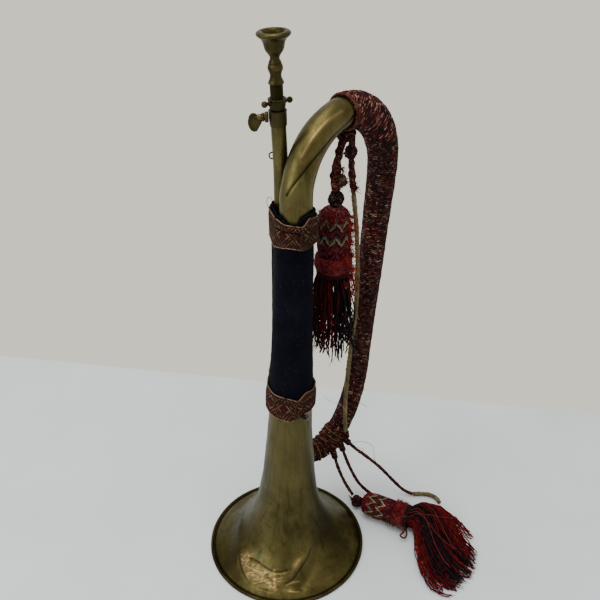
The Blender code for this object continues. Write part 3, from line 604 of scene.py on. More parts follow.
def make_rim():
    """Rolled wire edge with a second fine line inside it."""
    out, bead = 0.0819, 0.00165
    middle = out - bead
    steps = np.linspace(0.0, 2 * pi, 22, endpoint=False)
    profile = [(middle + bead * cos(a), max(0.0, bead * 1.02 + bead * 1.06 * sin(a))) for a in steps]
    grid = closed_grid(profile, (0.0, 0.0, 0.0), (0.0, 0.0, 1.0), 256)
    grid += (ripple(grid, 0.03, 21) * 0.0001)[..., None] * unit(grid * (1.0, 1.0, 0.0))
    grid[..., 2] = np.maximum(grid[..., 2], 0.0)
    bag = Bag()
    wear = np.clip(ripple(grid, 0.018, 22) * 0.1, 0.0, 0.06) * (grid[..., 2] > 0.002)
    bag.grid(grid, mark=wear)
    line = [(0.07795 + 0.00042 * cos(a), 0.0033 + 0.0005 * sin(a)) for a in steps]
    bag.grid(closed_grid(line, (0.0, 0.0, 0.0), (0.0, 0.0, 1.0), 256))
    bag.build("bell_rim_wire", brass_look("rim_brass", 0.42, 0.42, 0.9), "brass_light", ["bell_rim"])


def make_tube(name, line, radii, wall, look, slot, replaces, around=64, seed=1, dent=0.0002, folds=()):
    share = run_along(line) / run_along(line)[-1]
    radius = lookup(share, radii)
    outer = tube_grid(line, radius, around)
    way = unit(outer - line[:, None])
    push = ripple(outer, 0.024, seed) * dent
    rubbing_and_painted_light = np.zeros(push.shape)
    # folds push the wall in or out and lay a colour mark: painted shade along creases, painted highlights
    # along ridges
    for depth, width, mark, knots in folds:
        close = bell_curve(near_line(outer, spline(knots, 0.003)), width)
        push = push + depth * close
        rubbing_and_painted_light = rubbing_and_painted_light + mark * close
    outer = outer - way * push[..., None]
    return Bag().shell(outer, outer - way * wall, mark=rubbing_and_painted_light).build(name, look, slot, replaces)


# folds in the bow: (push in, width, colour mark, points on the tube)
BOW_FOLDS = (
    # the diagonal crease, with painted shade along it
    (0.0006, 0.0011, -0.95, ((0.0757, -0.013, 0.4485), (0.064, -0.0128, 0.4437), (0.0501, -0.0132, 0.439),
        (0.0335, -0.0134, 0.431), (0.0202, -0.0118, 0.422), (0.0102, -0.0078, 0.4114), (0.004, -0.0004,
        0.3974))),
    # raised flap beside the crease, with a faint painted highlight
    (-0.0004, 0.0024, 0.1, ((0.074, -0.012, 0.4515), (0.0483, -0.0122, 0.443), (0.0325, -0.0126, 0.435),
        (0.017, -0.01, 0.423))),
    # raised ridge with a painted highlight streak
    (-0.0003, 0.0013, 0.5, ((0.0628, -0.0102, 0.4552), (0.0483, -0.0094, 0.4511), (0.0369, -0.0084, 0.4454),
        (0.026, -0.0071, 0.4373), (0.0176, -0.0059, 0.4281))))


def make_tubes():
    brass = brass_look("tube_brass", 1.0, 0.3, 0.55, stained=True)
    start = BELL_TOP + 0.0012
    lead = np.array([(BELL_LEAN * z, 0.0, z) for z in (start, (start + BOW_Z) / 2)])
    arc = np.array([bow_point(a) for a in np.linspace(pi, 0.0, 90)])
    line = evenly(np.vstack([lead, arc, [branch_point(0.3754)]]), 0.001)
    make_tube("bow_tube", line, ((0.0, 0.014), (0.5, 0.013), (1.0, 0.0114)), 0.001, brass, "brass",
        ["top_bow"], 128, 31, 0.00025, BOW_FOLDS)
    make_tube("lower_bow_tube", line_of(bottom_bow_point, 0.004, 0.994, 0.003), ((0.0, 0.0088),
        (1.0, 0.0066)), 0.0008, brass, "brass", ["bottom_bow"], 40, 32)
    levels = np.array([pipe_point(z) for z in np.linspace(PIPE_FOOT[2], PIPE_TOP, 200)])
    make_tube("lead_pipe", evenly(levels, 0.003), ((0.0, 0.0066), (1.0, 0.0062)), 0.0006, brass, "brass",
        ["mouthpipe"], 48, 33, 0.00006)
    bag = Bag()
    ring = [(0.0074, -0.003), (0.0082, -0.003), (0.00845, -0.0026), (0.00845, -0.0016), (0.0082, -0.0012),
        (0.008, 0.0002), (0.008, 0.003), (0.00825, 0.0034), (0.00825, 0.0046), (0.008, 0.005),
        (0.0074, 0.005)]
    bag.grid(closed_grid(ring, PIPE_FOOT, PIPE_SLOPE, 48))
    bag.build("pipe_foot_ring", brass, "brass", ["pipe_foot_ferrule"], 30)
    for name in ("bell_joint_sleeve", "branch_top_sleeve", "branch_tube", "branch_foot_sleeve",
            "upper_brace", "lower_brace"):
        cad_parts[name].material_slots[0].material = brass


SCREW_Z = 0.4545
SCREW_SIDE = -NEAR_SIDE
SCREW_WAY = unit(SCREW_SIDE - unit(TOP_SLOPE) * (SCREW_SIDE @ unit(TOP_SLOPE)))


def make_receiver():
    """Sleeve, screw boss and chain eye on the mouthpipe."""
    brass = brass_look("fitting_brass", 0.72, 0.33, 0.8)
    sleeve = [(0.0066, 0.0), (0.0069, 0.0), (0.007, 0.0004), (0.0072, 0.006), (0.0072, 0.0112),
        (0.0074, 0.0116), (0.0075, 0.0121), (0.0074, 0.0125), (0.0066, 0.0125)]
    Bag().grid(closed_grid(sleeve, pipe_point(0.4475), TOP_SLOPE)).build("receiver_collar", brass, "brass",
        ["receiver_sleeve"], 35)
    boss = [(0.0026, 0.0076), (0.0042, 0.0076), (0.00435, 0.008), (0.00435, 0.0096), (0.0041, 0.0103),
        (0.0037, 0.0106), (0.0026, 0.0106)]
    Bag().grid(closed_grid(boss, pipe_point(SCREW_Z), SCREW_WAY, 40)).build("screw_socket", brass, "brass",
        ["screw_boss"], 35)
    angle = np.radians(np.linspace(-96.0, 96.0, 33))[:, None]
    loop = (pipe_point(0.4222) + SCREW_WAY * 0.0062 + 0.0028 * (np.cos(angle) * SCREW_WAY + np.sin(angle)
        * unit(TOP_SLOPE)))
    Bag().tube(loop, 0.0006, 10, first=AWAY).build("chain_ring", brass_look("eye_brass", 0.4, 0.45, 0.8),
        "brass_dark", ["chain_eye"])


def make_thumb_screw():
    """Turned neck with a flat, dished thumb plate that hangs to one side."""
    look = brass_look("screw_brass", 0.42, 0.36, 0.9)
    centre = pipe_point(SCREW_Z)
    neck = [(0.0, 0.0078), (0.0022, 0.0078), (0.0022, 0.0108), (0.0033, 0.011), (0.0036, 0.0113),
        (0.0035, 0.012), (0.0029, 0.0131), (0.0026, 0.014), (0.0027, 0.0147), (0.0024, 0.0156),
        (0.0021, 0.0172), (0.0017, 0.019), (0.0, 0.0196)]
    bag = Bag()
    neck_grid = turned_grid(neck, centre, SCREW_WAY, 40)
    # the little bead where the neck meets the plate is marked with rub wear and a painted highlight
    bag.grid(neck_grid, mark=np.repeat([0.25 if 0.0136 < out < 0.016 else 0.0 for _, out in neck], 40))
    # the plate lies in the plane of the shaft and the pipe
    across = unit(TOP_SLOPE)
    thick = unit(np.cross(SCREW_WAY, across))
    knots = np.array(((0.014, 0.0018), (0.0162, 0.0019), (0.0177, 0.003), (0.0202, 0.0035), (0.0224, 0.002),
        (0.0239, -0.0018), (0.0241, -0.0056), (0.0227, -0.0095), (0.0202, -0.0115), (0.0174, -0.0111),
        (0.0159, -0.0088), (0.0142, -0.0062), (0.0128, -0.003)))
    edge = spline(np.vstack([knots, knots[:1]]), 0.0009)[:-1]
    middle = edge.mean(0)
    half = ((0.0, 0.00045), (0.35, 0.0005), (0.68, 0.0009), (0.86, 0.0013), (0.95, 0.0012), (1.0, 0.0007))
    rows = (*half, (1.02, 0.0), *((share, -lift) for share, lift in reversed(half)))
    plate = []
    for share, lift in rows:
        flat = middle + (edge - middle) * share
        plate.append(centre + flat[:, :1] * SCREW_WAY + flat[:, 1:] * across + lift * thick)
    plate = np.array(plate)
    rubbing_and_painted_light = [0.1 if abs(lift) < 0.0006 and share < 0.7 else 0.0 for share, lift in rows]
    bag.grid(plate, mark=np.repeat(rubbing_and_painted_light, len(edge)))
    bag.build("thumb_key", look, "brass_dark", ["thumb_screw"], 50, body="thumb_screw")


def make_nut():
    look = brass_look("nut_brass", 0.62, 0.33, 0.8)
    nut = [(0.0056, 0.0), (0.006, 0.0), (0.0062, 0.0003), (0.0066, 0.0028), (0.007, 0.0052), (0.0071, 0.006),
        (0.0069, 0.0064), (0.0068, 0.0067), (0.0068, 0.007), (0.0071, 0.0073), (0.0075, 0.0077),
        (0.0075, 0.0086), (0.0073, 0.009), (0.0069, 0.0092), (0.0056, 0.0092)]
    bag = Bag()
    bag.grid(closed_grid(nut, pipe_point(0.4604), TOP_SLOPE))
    turn = radians(37.0)
    side = NEAR_SIDE * cos(turn) + AWAY * sin(turn)
    rise = np.radians(np.linspace(-56.0, 90.0, 18))
    arm = [(0.0, 0.0062), (0.0021, 0.0064), (0.002, 0.008), (0.0014, 0.0087), (0.0013, 0.0096)]
    arm += [(0.0026 * cos(a), 0.0121 + 0.0026 * sin(a)) for a in rise]
    for sign in (1.0, -1.0):
        bag.grid(turned_grid(arm, pipe_point(0.4661), side * sign, 32))
    bag.build("clamp_ring", look, "brass", ["clamp_nut", "nut_arm_far", "nut_arm_near"], 40,
        body="clamp_nut")


def make_mouthpiece():
    look = brass_look("shank_brass", 0.2, 0.46, 0.95)
    low, high = 0.429, 0.4802
    shank = [(0.0042, 0.0), (0.0051, 0.0), (0.0052, 0.0004), (0.0052, high - low - 0.0004),
        (0.005, high - low), (0.0042, high - low)]
    Bag().grid(closed_grid(shank, pipe_point(low), TOP_SLOPE)).build("tuning_bit", look, "brass_dark",
        ["tuning_shank"], 30, body="tuning_shank")
    foot, top = high + 0.0004, 0.52
    # radius and height from the top: rim, bowl, neck, upper bead, waist, lower bead
    outer = [(0.0092, -0.0003), (0.0105, 0.0), (0.0118, -0.0002), (0.0127, -0.0007), (0.0132, -0.0012),
        (0.0134, -0.0018), (0.0133, -0.0026), (0.0129, -0.0033), (0.0121, -0.0039), (0.0108, -0.0049),
        (0.0097, -0.0062), (0.0088, -0.0078), (0.0082, -0.01), (0.0076, -0.0127), (0.007, -0.0142),
        (0.0061, -0.0156), (0.0049, -0.0172), (0.0041, -0.0185), (0.0038, -0.0195), (0.0038, -0.0204),
        (0.0041, -0.0213), (0.0045, -0.022), (0.0048, -0.0226), (0.0051, -0.0233), (0.0049, -0.0237),
        (0.0052, -0.0241), (0.0058, -0.0255), (0.0061, -0.0268), (0.006, -0.0281), (0.0056, -0.0292),
        (0.0051, -0.0303), (0.0047, -0.0315), (0.0045, -0.0328), (0.0046, -0.0344), (0.0052, -0.0359),
        (0.0058, -0.0371), (0.0063, -0.0383), (0.0063, -0.0389), (0.006, foot - top), (0.0038, foot - top),
        (0.0035, foot - 0.016 - top)]
    inner = [(0.0026, foot - 0.016 - top), (0.0019, -0.02), (0.0024, -0.0165), (0.0038, -0.0145),
        (0.005, -0.0127), (0.0062, -0.01), (0.0068, -0.0075), (0.0071, -0.005), (0.0074, -0.0034),
        (0.0078, -0.0022), (0.0084, -0.0011)]
    profile = [(r, z + top - foot) for r, z in outer + inner]
    grid = closed_grid(profile, pipe_point(foot), TOP_SLOPE, 72)
    bag = Bag()
    wear = np.zeros(grid.shape[:2])
    # rows with rub wear: the rim, and the two beads, whose marks also paint their small highlights
    for first, last, value in ((1, 6, 0.06), (26, 29, 0.2), (35, 38, 0.18)):
        wear[first:last] = value
    bag.grid(grid, mark=wear * np.clip(0.6 + ripple(grid, 0.01, 44) * 0.5, 0, 1))
    bag.build("mouthpiece_cup", brass_look("cup_brass", 0.58, 0.32, 0.9), "brass_light", ["mouthpiece"], 40,
        body="mouthpiece")


# ---------------------------------------------------------------- cloth looks
MAROON = (0.06, 0.004, 0.006)
ROSE = (0.23, 0.06, 0.05)
SAND = (0.26, 0.18, 0.1)
INK = (0.006, 0.004, 0.005)
NAVY = (0.0035, 0.0038, 0.0105)
STRAW = (0.14, 0.1, 0.045)


def fleck_look(name, long_step, wide_step, turn_degrees, stops, depth=0.0004):
    """Mottled cord: each stitch is one cell with a colour of its own, drawn out along the yarn."""
    look = Look(name, Roughness=0.92, Specular_IOR_Level=0.08)
    spin = look.scaled(look.uv, (1.0, 1.0, 1.0), (0.0, 0.0, radians(turn_degrees)))
    wander = look.noise(260.0, 2.0, vector=spin)
    shift = look.add("VectorMath", {0: spin, 1: look.add("CombineXYZ", {0: look.times(wander, 0.0012),
        1: look.times(wander, 0.0006)}).outputs[0]}, operation="ADD").outputs[0]
    stitch = look.scaled(shift, (1.0 / long_step, 1.0 / wide_step, 1.0))
    colour = look.ramp(look.split(look.cells(stitch, 0.75))[0], stops, hard=True)
    colour = look.stain(colour, INK, look.noise(700.0, 3.0, 0.7), (0.35, 0.55), (0.65, 0.0))
    edge = look.cells(stitch, 0.75, "Distance")
    colour = look.stain(colour, INK, edge, (0.35, 0.0), (0.8, 0.75))
    colour = look.stain(colour, INK, look.noise(34.0, 3.0), (0.45, 0.0), (0.75, 0.35))
    look.feed("Base Color", colour)
    fibre = look.noise((500.0, 2600.0, 1.0), 3.0, 0.7, vector=spin)
    look.bump(look.plus(look.steps(edge, ((0.0, 1.0), (0.8, 0.0))), look.times(fibre, 0.5)), depth, 0.8)
    return look.material


COVER_STOPS = ((0.0, MAROON), (0.26, INK), (0.42, (0.1, 0.014, 0.012)), (0.6, INK), (0.72, ROSE),
    (0.9, SAND), (0.94, MAROON))
KNOT_STOPS = ((0.0, (0.05, 0.006, 0.007)), (0.22, INK), (0.42, (0.095, 0.014, 0.013)), (0.56, INK),
    (0.74, (0.15, 0.045, 0.036)), (0.88, (0.2, 0.13, 0.075)), (0.93, MAROON))
GREY_STOPS = ((0.0, (0.03, 0.01, 0.012)), (0.26, INK), (0.5, (0.07, 0.055, 0.04)), (0.62, INK),
    (0.78, (0.06, 0.01, 0.014)), (0.9, (0.2, 0.165, 0.13)), (0.95, INK))
STREAK_WAY = (0.33, -0.393, 0.858)          # the yarns of the bow cover lean this way
STREAK_SIDE = (-0.552, 0.657, 0.514)


def streak_tone(look):
    """Slanted stitches: fine dashes of rose and pink on maroon and black. Returns colour and height."""
    wander = look.times(look.noise(230.0, 2.0), 1.2)
    parts = []
    for way, step in ((STREAK_SIDE, 1.3), (STREAK_WAY, 6.0), (tuple(AWAY), 2.6)):
        reach = look.add("VectorMath", {0: look.place, 1: way}, operation="DOT_PRODUCT").outputs["Value"]
        parts.append(look.plus(look.over(reach, step * MM), wander))
    stitch = look.add("CombineXYZ", dict(enumerate(parts))).outputs[0]
    key = look.split(look.cells(stitch, 0.9))[0]
    edge = look.cells(stitch, 0.9, "Distance")
    tone = look.ramp(key, ((0.0, (0.09, 0.01, 0.011)), (0.22, INK), (0.4, (0.24, 0.075, 0.058)),
        (0.54, MAROON), (0.7, INK), (0.8, (0.38, 0.19, 0.145)), (0.92, MAROON)), hard=True)
    tone = look.stain(tone, INK, edge, (0.38, 0.0), (0.72, 0.85))
    return tone, look.steps(edge, ((0.0, 1.0), (0.8, 0.0)))


def row_tone(look, pitch):
    """Wavy rows of cord: thin lines of maroon or rose with dark gaps. Returns colour and height."""
    across, run, _ = look.split(look.uv)
    wander = look.times(look.noise(170.0, 2.0), 2.2 * MM)
    wave = look.times(look.wave(across, 3.4 * MM), 0.35 * MM)
    level = look.over(look.plus(look.plus(run, wave), wander), pitch)
    row = look.math("FLOOR", level)
    ridge = look.math("PINGPONG", look.times(look.minus(level, row), 2.0), 1.0)
    stitch = look.add("CombineXYZ", {0: look.over(across, 2.6 * MM), 1: row, 2: 0.0}).outputs[0]
    key = look.split(look.cells(stitch, 0.9))[0]
    tone = look.ramp(key, ((0.0, (0.06, 0.006, 0.006)), (0.24, (0.12, 0.018, 0.016)),
        (0.45, (0.205, 0.078, 0.058)), (0.64, (0.02, 0.004, 0.004)), (0.77, (0.35, 0.24, 0.17)),
        (0.88, (0.075, 0.042, 0.028))), hard=True)
    tone = look.stain(tone, INK, ridge, (0.34, 1.0), (0.66, 0.0))
    tone = look.stain(tone, INK, look.noise((60.0, 60.0, 22.0), 3.0), (0.46, 0.0), (0.66, 0.55))
    return tone, ridge


def cover_look(name, pitch, slanted_above=None):
    """Worked cord cover: wavy rows, and slanted stitches above a height where it has one."""
    look = Look(name, Roughness=0.92, Specular_IOR_Level=0.08)
    tone, height = row_tone(look, pitch)
    if slanted_above is not None:
        level = look.plus(look.split(look.place)[2], look.times(look.noise(120.0, 2.0), 6.0 * MM))
        share = look.math("GREATER_THAN", level, slanted_above + 3.0 * MM)
        streaks, stitches = streak_tone(look)
        tone, height = look.mix(share, tone, streaks), look.mix(share, height, stitches)
    blur = look.noise(620.0, 3.0, 0.7)
    tone = look.stain(tone, INK, blur, (0.36, 0.7), (0.6, 0.0))
    look.feed("Base Color", tone)
    look.bump(look.plus(height, look.times(blur, 0.6)), 0.0005, 0.9)
    return look.material


def felt_look():
    look = Look("grip_felt", Roughness=0.95, Specular_IOR_Level=0.06)
    cloud = look.noise(40.0, 5.0, 0.6)
    base = look.ramp(cloud, ((0.3, (0.0016, 0.0017, 0.0046)), (0.55, NAVY), (0.8, (0.007, 0.007, 0.016))))
    across, up, _ = look.split(look.uv)
    weave = look.times(look.plus(look.wave(across, 1.25 * MM), 1.2), look.plus(look.wave(up, 0.9 * MM), 2.2))
    base = look.stain(base, (0.0008, 0.0008, 0.002), look.times(weave, 0.15), (0.1, 0.55), (0.7, 0.0))
    base = look.stain(base, (0.05, 0.042, 0.048), look.noise(520.0, 2.0, 0.6), (0.66, 0.0), (0.72, 0.5))
    dust = look.noise((30.0, 30.0, 5.0), 4.0, 0.6)
    base = look.stain(base, (0.04, 0.02, 0.018), dust, (0.55, 0.0), (0.8, 0.15))
    look.feed("Base Color", base)
    look.bump(look.plus(look.times(weave, 0.25), look.noise(900.0, 3.0, 0.7)), 0.00035, 0.7)
    return look.material


TAPE_THREAD = 0.85 * MM


def band_look(name, height):
    """Woven tape: red diamonds drawn round with dotted tan on olive brown, with tan selvedges."""
    look = Look(name, Roughness=0.9, Specular_IOR_Level=0.08)
    across, up, _ = look.split(look.uv)
    # the pattern moves in whole threads
    col = look.times(look.math("FLOOR", look.over(across, TAPE_THREAD)), TAPE_THREAD)
    row = look.times(look.math("FLOOR", look.over(up, TAPE_THREAD)), TAPE_THREAD)
    repeat = 19.0 * TAPE_THREAD
    side = look.over(look.math("PINGPONG", col, repeat / 2), repeat / 2)
    lift = look.over(look.math("ABSOLUTE", look.minus(row, height / 2)), height / 2)
    ring = look.plus(side, look.times(lift, 1.05))
    tone = look.ramp(look.over(ring, 2.0), ((0.0, (0.11, 0.011, 0.012)), (0.13, (0.014, 0.006, 0.005)),
        (0.19, (0.085, 0.011, 0.011)), (0.28, (0.013, 0.006, 0.005)), (0.32, (0.33, 0.2, 0.105)),
        (0.37, (0.012, 0.006, 0.004)), (0.43, (0.075, 0.012, 0.011)), (0.49, (0.014, 0.007, 0.005)),
        (0.53, (0.21, 0.115, 0.055)), (0.58, (0.016, 0.008, 0.006)), (0.66, (0.09, 0.014, 0.012)),
        (0.74, (0.19, 0.105, 0.05)), (0.79, (0.018, 0.008, 0.006)), (0.9, (0.1, 0.012, 0.012))), hard=True)
    dotted = look.math("MODULO", look.plus(look.over(col, TAPE_THREAD), look.over(row, TAPE_THREAD)), 2.0)
    dot = look.math("LESS_THAN", look.math("ABSOLUTE", look.minus(dotted, 1.0)), 0.5)
    tone = look.mix(look.times(dot, 0.72), tone, (0.012, 0.004, 0.004))
    tone = look.mix(look.math("GREATER_THAN", lift, 0.93), tone, (0.05, 0.024, 0.012))
    tone = look.stain(tone, (0.012, 0.007, 0.005), look.noise(60.0, 4.0, 0.6), (0.4, 0.0), (0.72, 0.7))
    fray = look.noise(900.0, 2.0, 0.7)
    tone = look.stain(tone, INK, fray, (0.35, 0.45), (0.6, 0.0))
    look.feed("Base Color", tone)
    warp = look.wave(across, TAPE_THREAD)
    look.bump(look.plus(look.times(look.plus(warp, look.wave(up, TAPE_THREAD)), 0.4), fray), 0.0004, 0.9)
    return look.material


def yarn_look(name, tones, rough=0.88):
    """Wool yarn: a few near tones in patches along each strand, with a fine ply."""
    look = Look(name, Roughness=rough, Specular_IOR_Level=0.1)
    patch = look.noise((210.0, 210.0, 115.5), 3.0, 0.6)
    stops = [(0.3 + 0.4 * i / max(1, len(tones) - 1), tone) for i, tone in enumerate(tones)]
    colour = look.ramp(patch, stops)
    fleck = look.noise(1300.0, 2.0, 0.6)
    colour = look.stain(colour, INK, fleck, (0.38, 0.5), (0.55, 0.0))
    look.feed("Base Color", colour)
    look.bump(fleck, 0.00025, 0.7)
    return look.material


# ---------------------------------------------------------------- cloth round both tubes
# edges round the tubes: (degrees from +X towards +Y, heights of the edge or edges)
FELT_EDGES = ((40, 0.185, 0.38), (130, 0.185, 0.379), (170, 0.1836, 0.379), (190, 0.1795, 0.376),
    (205, 0.1785, 0.374), (222, 0.1787, 0.3725), (236, 0.184, 0.38), (250, 0.1855, 0.3815),
    (285, 0.1862, 0.383), (310, 0.186, 0.3815))
UPPER_EDGES = ((40, 0.353, 0.377), (130, 0.349, 0.374), (160, 0.3515, 0.376), (195, 0.355, 0.375),
    (225, 0.3538, 0.3738), (242, 0.3526, 0.3732), (258, 0.3528, 0.379), (300, 0.356, 0.3765))
LOWER_EDGES = ((40, 0.186, 0.208), (130, 0.184, 0.2075), (165, 0.1838, 0.207), (195, 0.1812, 0.2062),
    (222, 0.1806, 0.2048), (238, 0.1836, 0.2012), (257, 0.186, 0.209), (285, 0.1888, 0.2072))
BELL_CLOTH = 0.0016
PIPE_CLOTH = ((0.18, 0.0056), (0.38, 0.0024))
BAND_SPACE = 0.0026


def edge_of(table, column):
    """Height of an edge as a smooth function of the angle."""
    turn = np.arange(360)
    height = np.interp(turn, [row[0] for row in table], [row[column] for row in table], period=360)
    soft = np.exp(-(np.arange(-15, 16) / 5.0) ** 2)
    height = np.convolve(np.r_[height[-15:], height, height[:15]], soft / soft.sum(), "valid")
    return lambda angle: np.interp(np.degrees(angle), turn, height, period=360)


def outline_at(heights, space, count):
    """Taut outline round both tubes, at a height for each angle: its points, their angles, its length."""
    angle = np.linspace(0.0, 2 * pi, 361)
    z = heights(angle)
    way = np.stack([np.cos(angle), np.sin(angle), np.zeros_like(angle)], 1)
    bell = np.stack([BELL_LEAN * z, 0.0 * z, z], 1) + way * (bell_radius(z) + BELL_CLOTH + space)[:, None]
    padding = lookup(z, PIPE_CLOTH)
    middle = np.array([pipe_point(v) for v in z])
    pipe = middle + way * (np.array([pipe_radius(v) for v in z]) + padding + space)[:, None]
    outside = ((bell - pipe) * way).sum(1)[:, None] > 0
    points = np.where(outside, bell, pipe)
    run = run_along(points)
    goal = np.linspace(0.0, run[-1], count, endpoint=False)
    return (np.stack([np.interp(goal, run, points[:, i]) for i in range(3)], 1), np.interp(goal, run, angle),
        run[-1])


def thicken(cloth, thick):
    wall = cloth.modifiers.new("cloth", "SOLIDIFY")
    wall.thickness, wall.offset = thick, -1.0


def levels_between(low, high, count):
    """Functions of the angle that step from one edge to the other."""
    return [lambda angle, t=t: low(angle) * (1.0 - t) + high(angle) * t for t in np.linspace(0.0, 1.0, count)]


def wrap_grid(levels, space, count):
    """Stack of outlines, the way out of the cloth at each point, and the length round it."""
    rows, angles, girths = zip(*(outline_at(level, space, count) for level in levels))
    grid = np.array(rows)
    around = np.roll(grid, -1, 1) - np.roll(grid, 1, 1)
    up = np.gradient(grid, axis=0)
    return grid, unit(np.cross(around, up)), np.array(angles), float(np.mean(girths))


FELT_TALL = 0.196


def make_grip():
    """Felt wrapped once round both tubes, a little loose, drawn in near its edges."""
    levels = levels_between(edge_of(FELT_EDGES, 1), edge_of(FELT_EDGES, 2), 110)
    grid, out, angles, girth = wrap_grid(levels, 0.0, 168)
    lumps = ripple(grid * (1.0, 1.0, 0.35), 0.02, 51) * 0.00022
    lumps = lumps + ripple(grid * (1.0, 1.0, 0.6), 0.008, 52) * 0.0001
    rise = np.linspace(-1.0, 1.0, len(grid))
    pull = np.clip((np.abs(rise) - 0.8) / 0.12, 0.0, 1.0) * np.clip((1.0 - np.abs(rise)) / 0.03, 0.0, 1.0)
    loose = np.clip((np.abs(rise) - 0.965) / 0.035, 0.0, 1.0)
    grid = grid + out * (lumps * (1.0 - pull[:, None]) - 0.0003 * pull[:, None])[..., None]
    # both edges stand loose in small folds
    folds = 0.0007 + 0.0008 * ripple(grid * (1.0, 1.0, 0.3), 0.009, 161)
    grid = grid + out * (folds * loose[:, None])[..., None]
    run = np.linspace(0.0, FELT_TALL, len(grid))
    bag = Bag()
    bag.grid(grid, run, girth)
    felt = felt_look()
    wrap = bag.build("felt_wrap", felt, "cloth_navy", ["grip_wrap"])
    thicken(wrap, 0.0008)
    # overlapped end of the felt, sewn down the back
    bag = Bag()
    seam = np.argmin(np.abs(angles - radians(52.0)), axis=1)
    lifts = np.array((0.0002, 0.0009, 0.0011, 0.0011, 0.0009, 0.0002))[:, None]
    strip = []
    for i, start in enumerate(seam):
        columns = [(start + j) % grid.shape[1] for j in range(len(lifts))]
        strip.append(grid[i, columns] + out[i, columns] * lifts)
    strip = np.array(strip)
    bag.grid(strip, run, wrap=False)
    for i in range(4, len(grid) - 4, 3):
        a, b = strip[i, 4], strip[i + 1, 5]
        lift = out[i, seam[i]] * 0.0004
        bag.tube(spline([a, (a + b) / 2 + lift * 1.6, b + lift * 0.3], 0.0004), 0.00022, 5, slot=1)
    flap = bag.build("felt_seam", [felt, yarn_look("seam_thread", (INK, (0.05, 0.04, 0.05)))], "cloth_navy")


BAND_TALL = 0.022


def make_band(name, table, node, seed):
    """Woven tape round the grip, with a thin pale thread along each edge."""
    low, high = edge_of(table, 1), edge_of(table, 2)

    def level(share):
        def at(angle):
            wave = 0.0003 * np.sin(3 * angle + seed) + 0.0003 * np.sin(7 * angle + 2.0 * seed)
            return low(angle) * (1.0 - share) + high(angle) * share + wave
        return at
    shares = np.linspace(0.0, 1.0, 34)
    grid, out, angles, girth = wrap_grid([level(s) for s in shares], BAND_SPACE, 220)
    puff = 0.0005 * (1.0 - (2 * shares - 1.0) ** 4)[:, None]
    turns = np.round(girth / TAPE_THREAD)
    weave = 0.0001 * np.sin(angles * turns) * np.sin(shares * BAND_TALL / TAPE_THREAD * 2 * pi)[:, None]
    grid = grid + out * (puff + ripple(grid, 0.012, seed) * 0.0003 - 0.0007 + weave)[..., None]
    look = band_look(name + "_weave", BAND_TALL)
    bag = Bag()
    bag.grid(grid, shares * BAND_TALL, girth)
    tape = bag.build(name, look, "woven_band", [node])
    thicken(tape, 0.0014)
    binding = yarn_look(name + "_edge_yarn", ((0.03, 0.01, 0.007), (0.24, 0.14, 0.1), (0.09, 0.04, 0.026)))
    bag = Bag()
    for row, lift in ((0, -0.0001), (-1, 0.0001)):
        line = grid[row] + out[row] * 0.0001 + upward(lift)
        line = evenly(np.vstack([line, line[:1]]), 0.0006)
        bag.tube(line, twist(0.0004, 0.2, 0.0014), 8, caps=False, first=(0.0, 0.0, 1.0))
    trim = bag.build(name + "_edges", binding, "woven_band")
    return grid, out, angles, look


def lap_piece(name, grid, out, angles, look, middle, half, tilt, rows, lift):
    """The lapped end of a band: a short length of tape laid over it at a slant."""
    bag = Bag()
    count = grid.shape[1]
    strip = []
    for i in rows:
        row = []
        for j in range(-half, half + 1):
            k = int(np.argmin(np.abs(np.angle(np.exp(1j * (angles[i] - middle)))))) + j
            rise = tilt * j / half
            end = 1.0 - 0.6 * (abs(j) / half) ** 6
            row.append(grid[i, k % count] + out[i, k % count] * lift * end + upward(rise))
        strip.append(row)
    strip = np.array(strip)
    bag.grid(strip, np.linspace(0.0, BAND_TALL, len(strip)), wrap=False)
    piece = bag.build(name, look, "woven_band")
    thicken(piece, 0.0009)
    bag = Bag()
    loop = np.vstack([strip[0], strip[1:, -1], strip[-1, -2::-1], strip[-2::-1, 0]])
    line = evenly(loop, 0.0006)
    bag.tube(line, twist(0.00045, 0.18, 0.0016), 8, caps=False, first=(0.0, 0.0, 1.0))
    bag.build(name + "_edge", yarn_look(name + "_yarn", ((0.014, 0.006, 0.005), (0.07, 0.034, 0.02))),
        "woven_band")


# ---------------------------------------------------------------- corded covers
def cover_grid(line, radii, around, step, ridge, seed, lean=0.0, depth=0.00035):
    """Tube of tight cord turns: ridges of one pitch, cut across by the ply of the cord."""
    line = evenly(line, step)
    share = run_along(line) / run_along(line)[-1]
    base = lookup(share, radii)

    def radius(run, angle):
        turns = run / ridge + lean * angle / (2 * pi)
        row = np.floor(turns)
        coil = np.abs(np.sin(pi * turns)) ** 0.7
        ply = np.abs(np.sin(angle * 11 + row * 1.9 + pi * turns * 0.9)) ** 0.8
        return base[:, None] - depth + depth * coil * (0.65 + 0.35 * ply)
    grid = tube_grid(line, radius, around)
    way = unit(grid - line[:, None])
    return line, grid + way * bumps(grid, (0.009, seed, 0.00018), (0.03, seed + 1, 0.0002))


def cover_bag(line, outer, share=0.93):
    """Wall of a cover, from its outside in to a share of the way out from the line."""
    return Bag().shell(outer, line[:, None] + (outer - line[:, None]) * share)


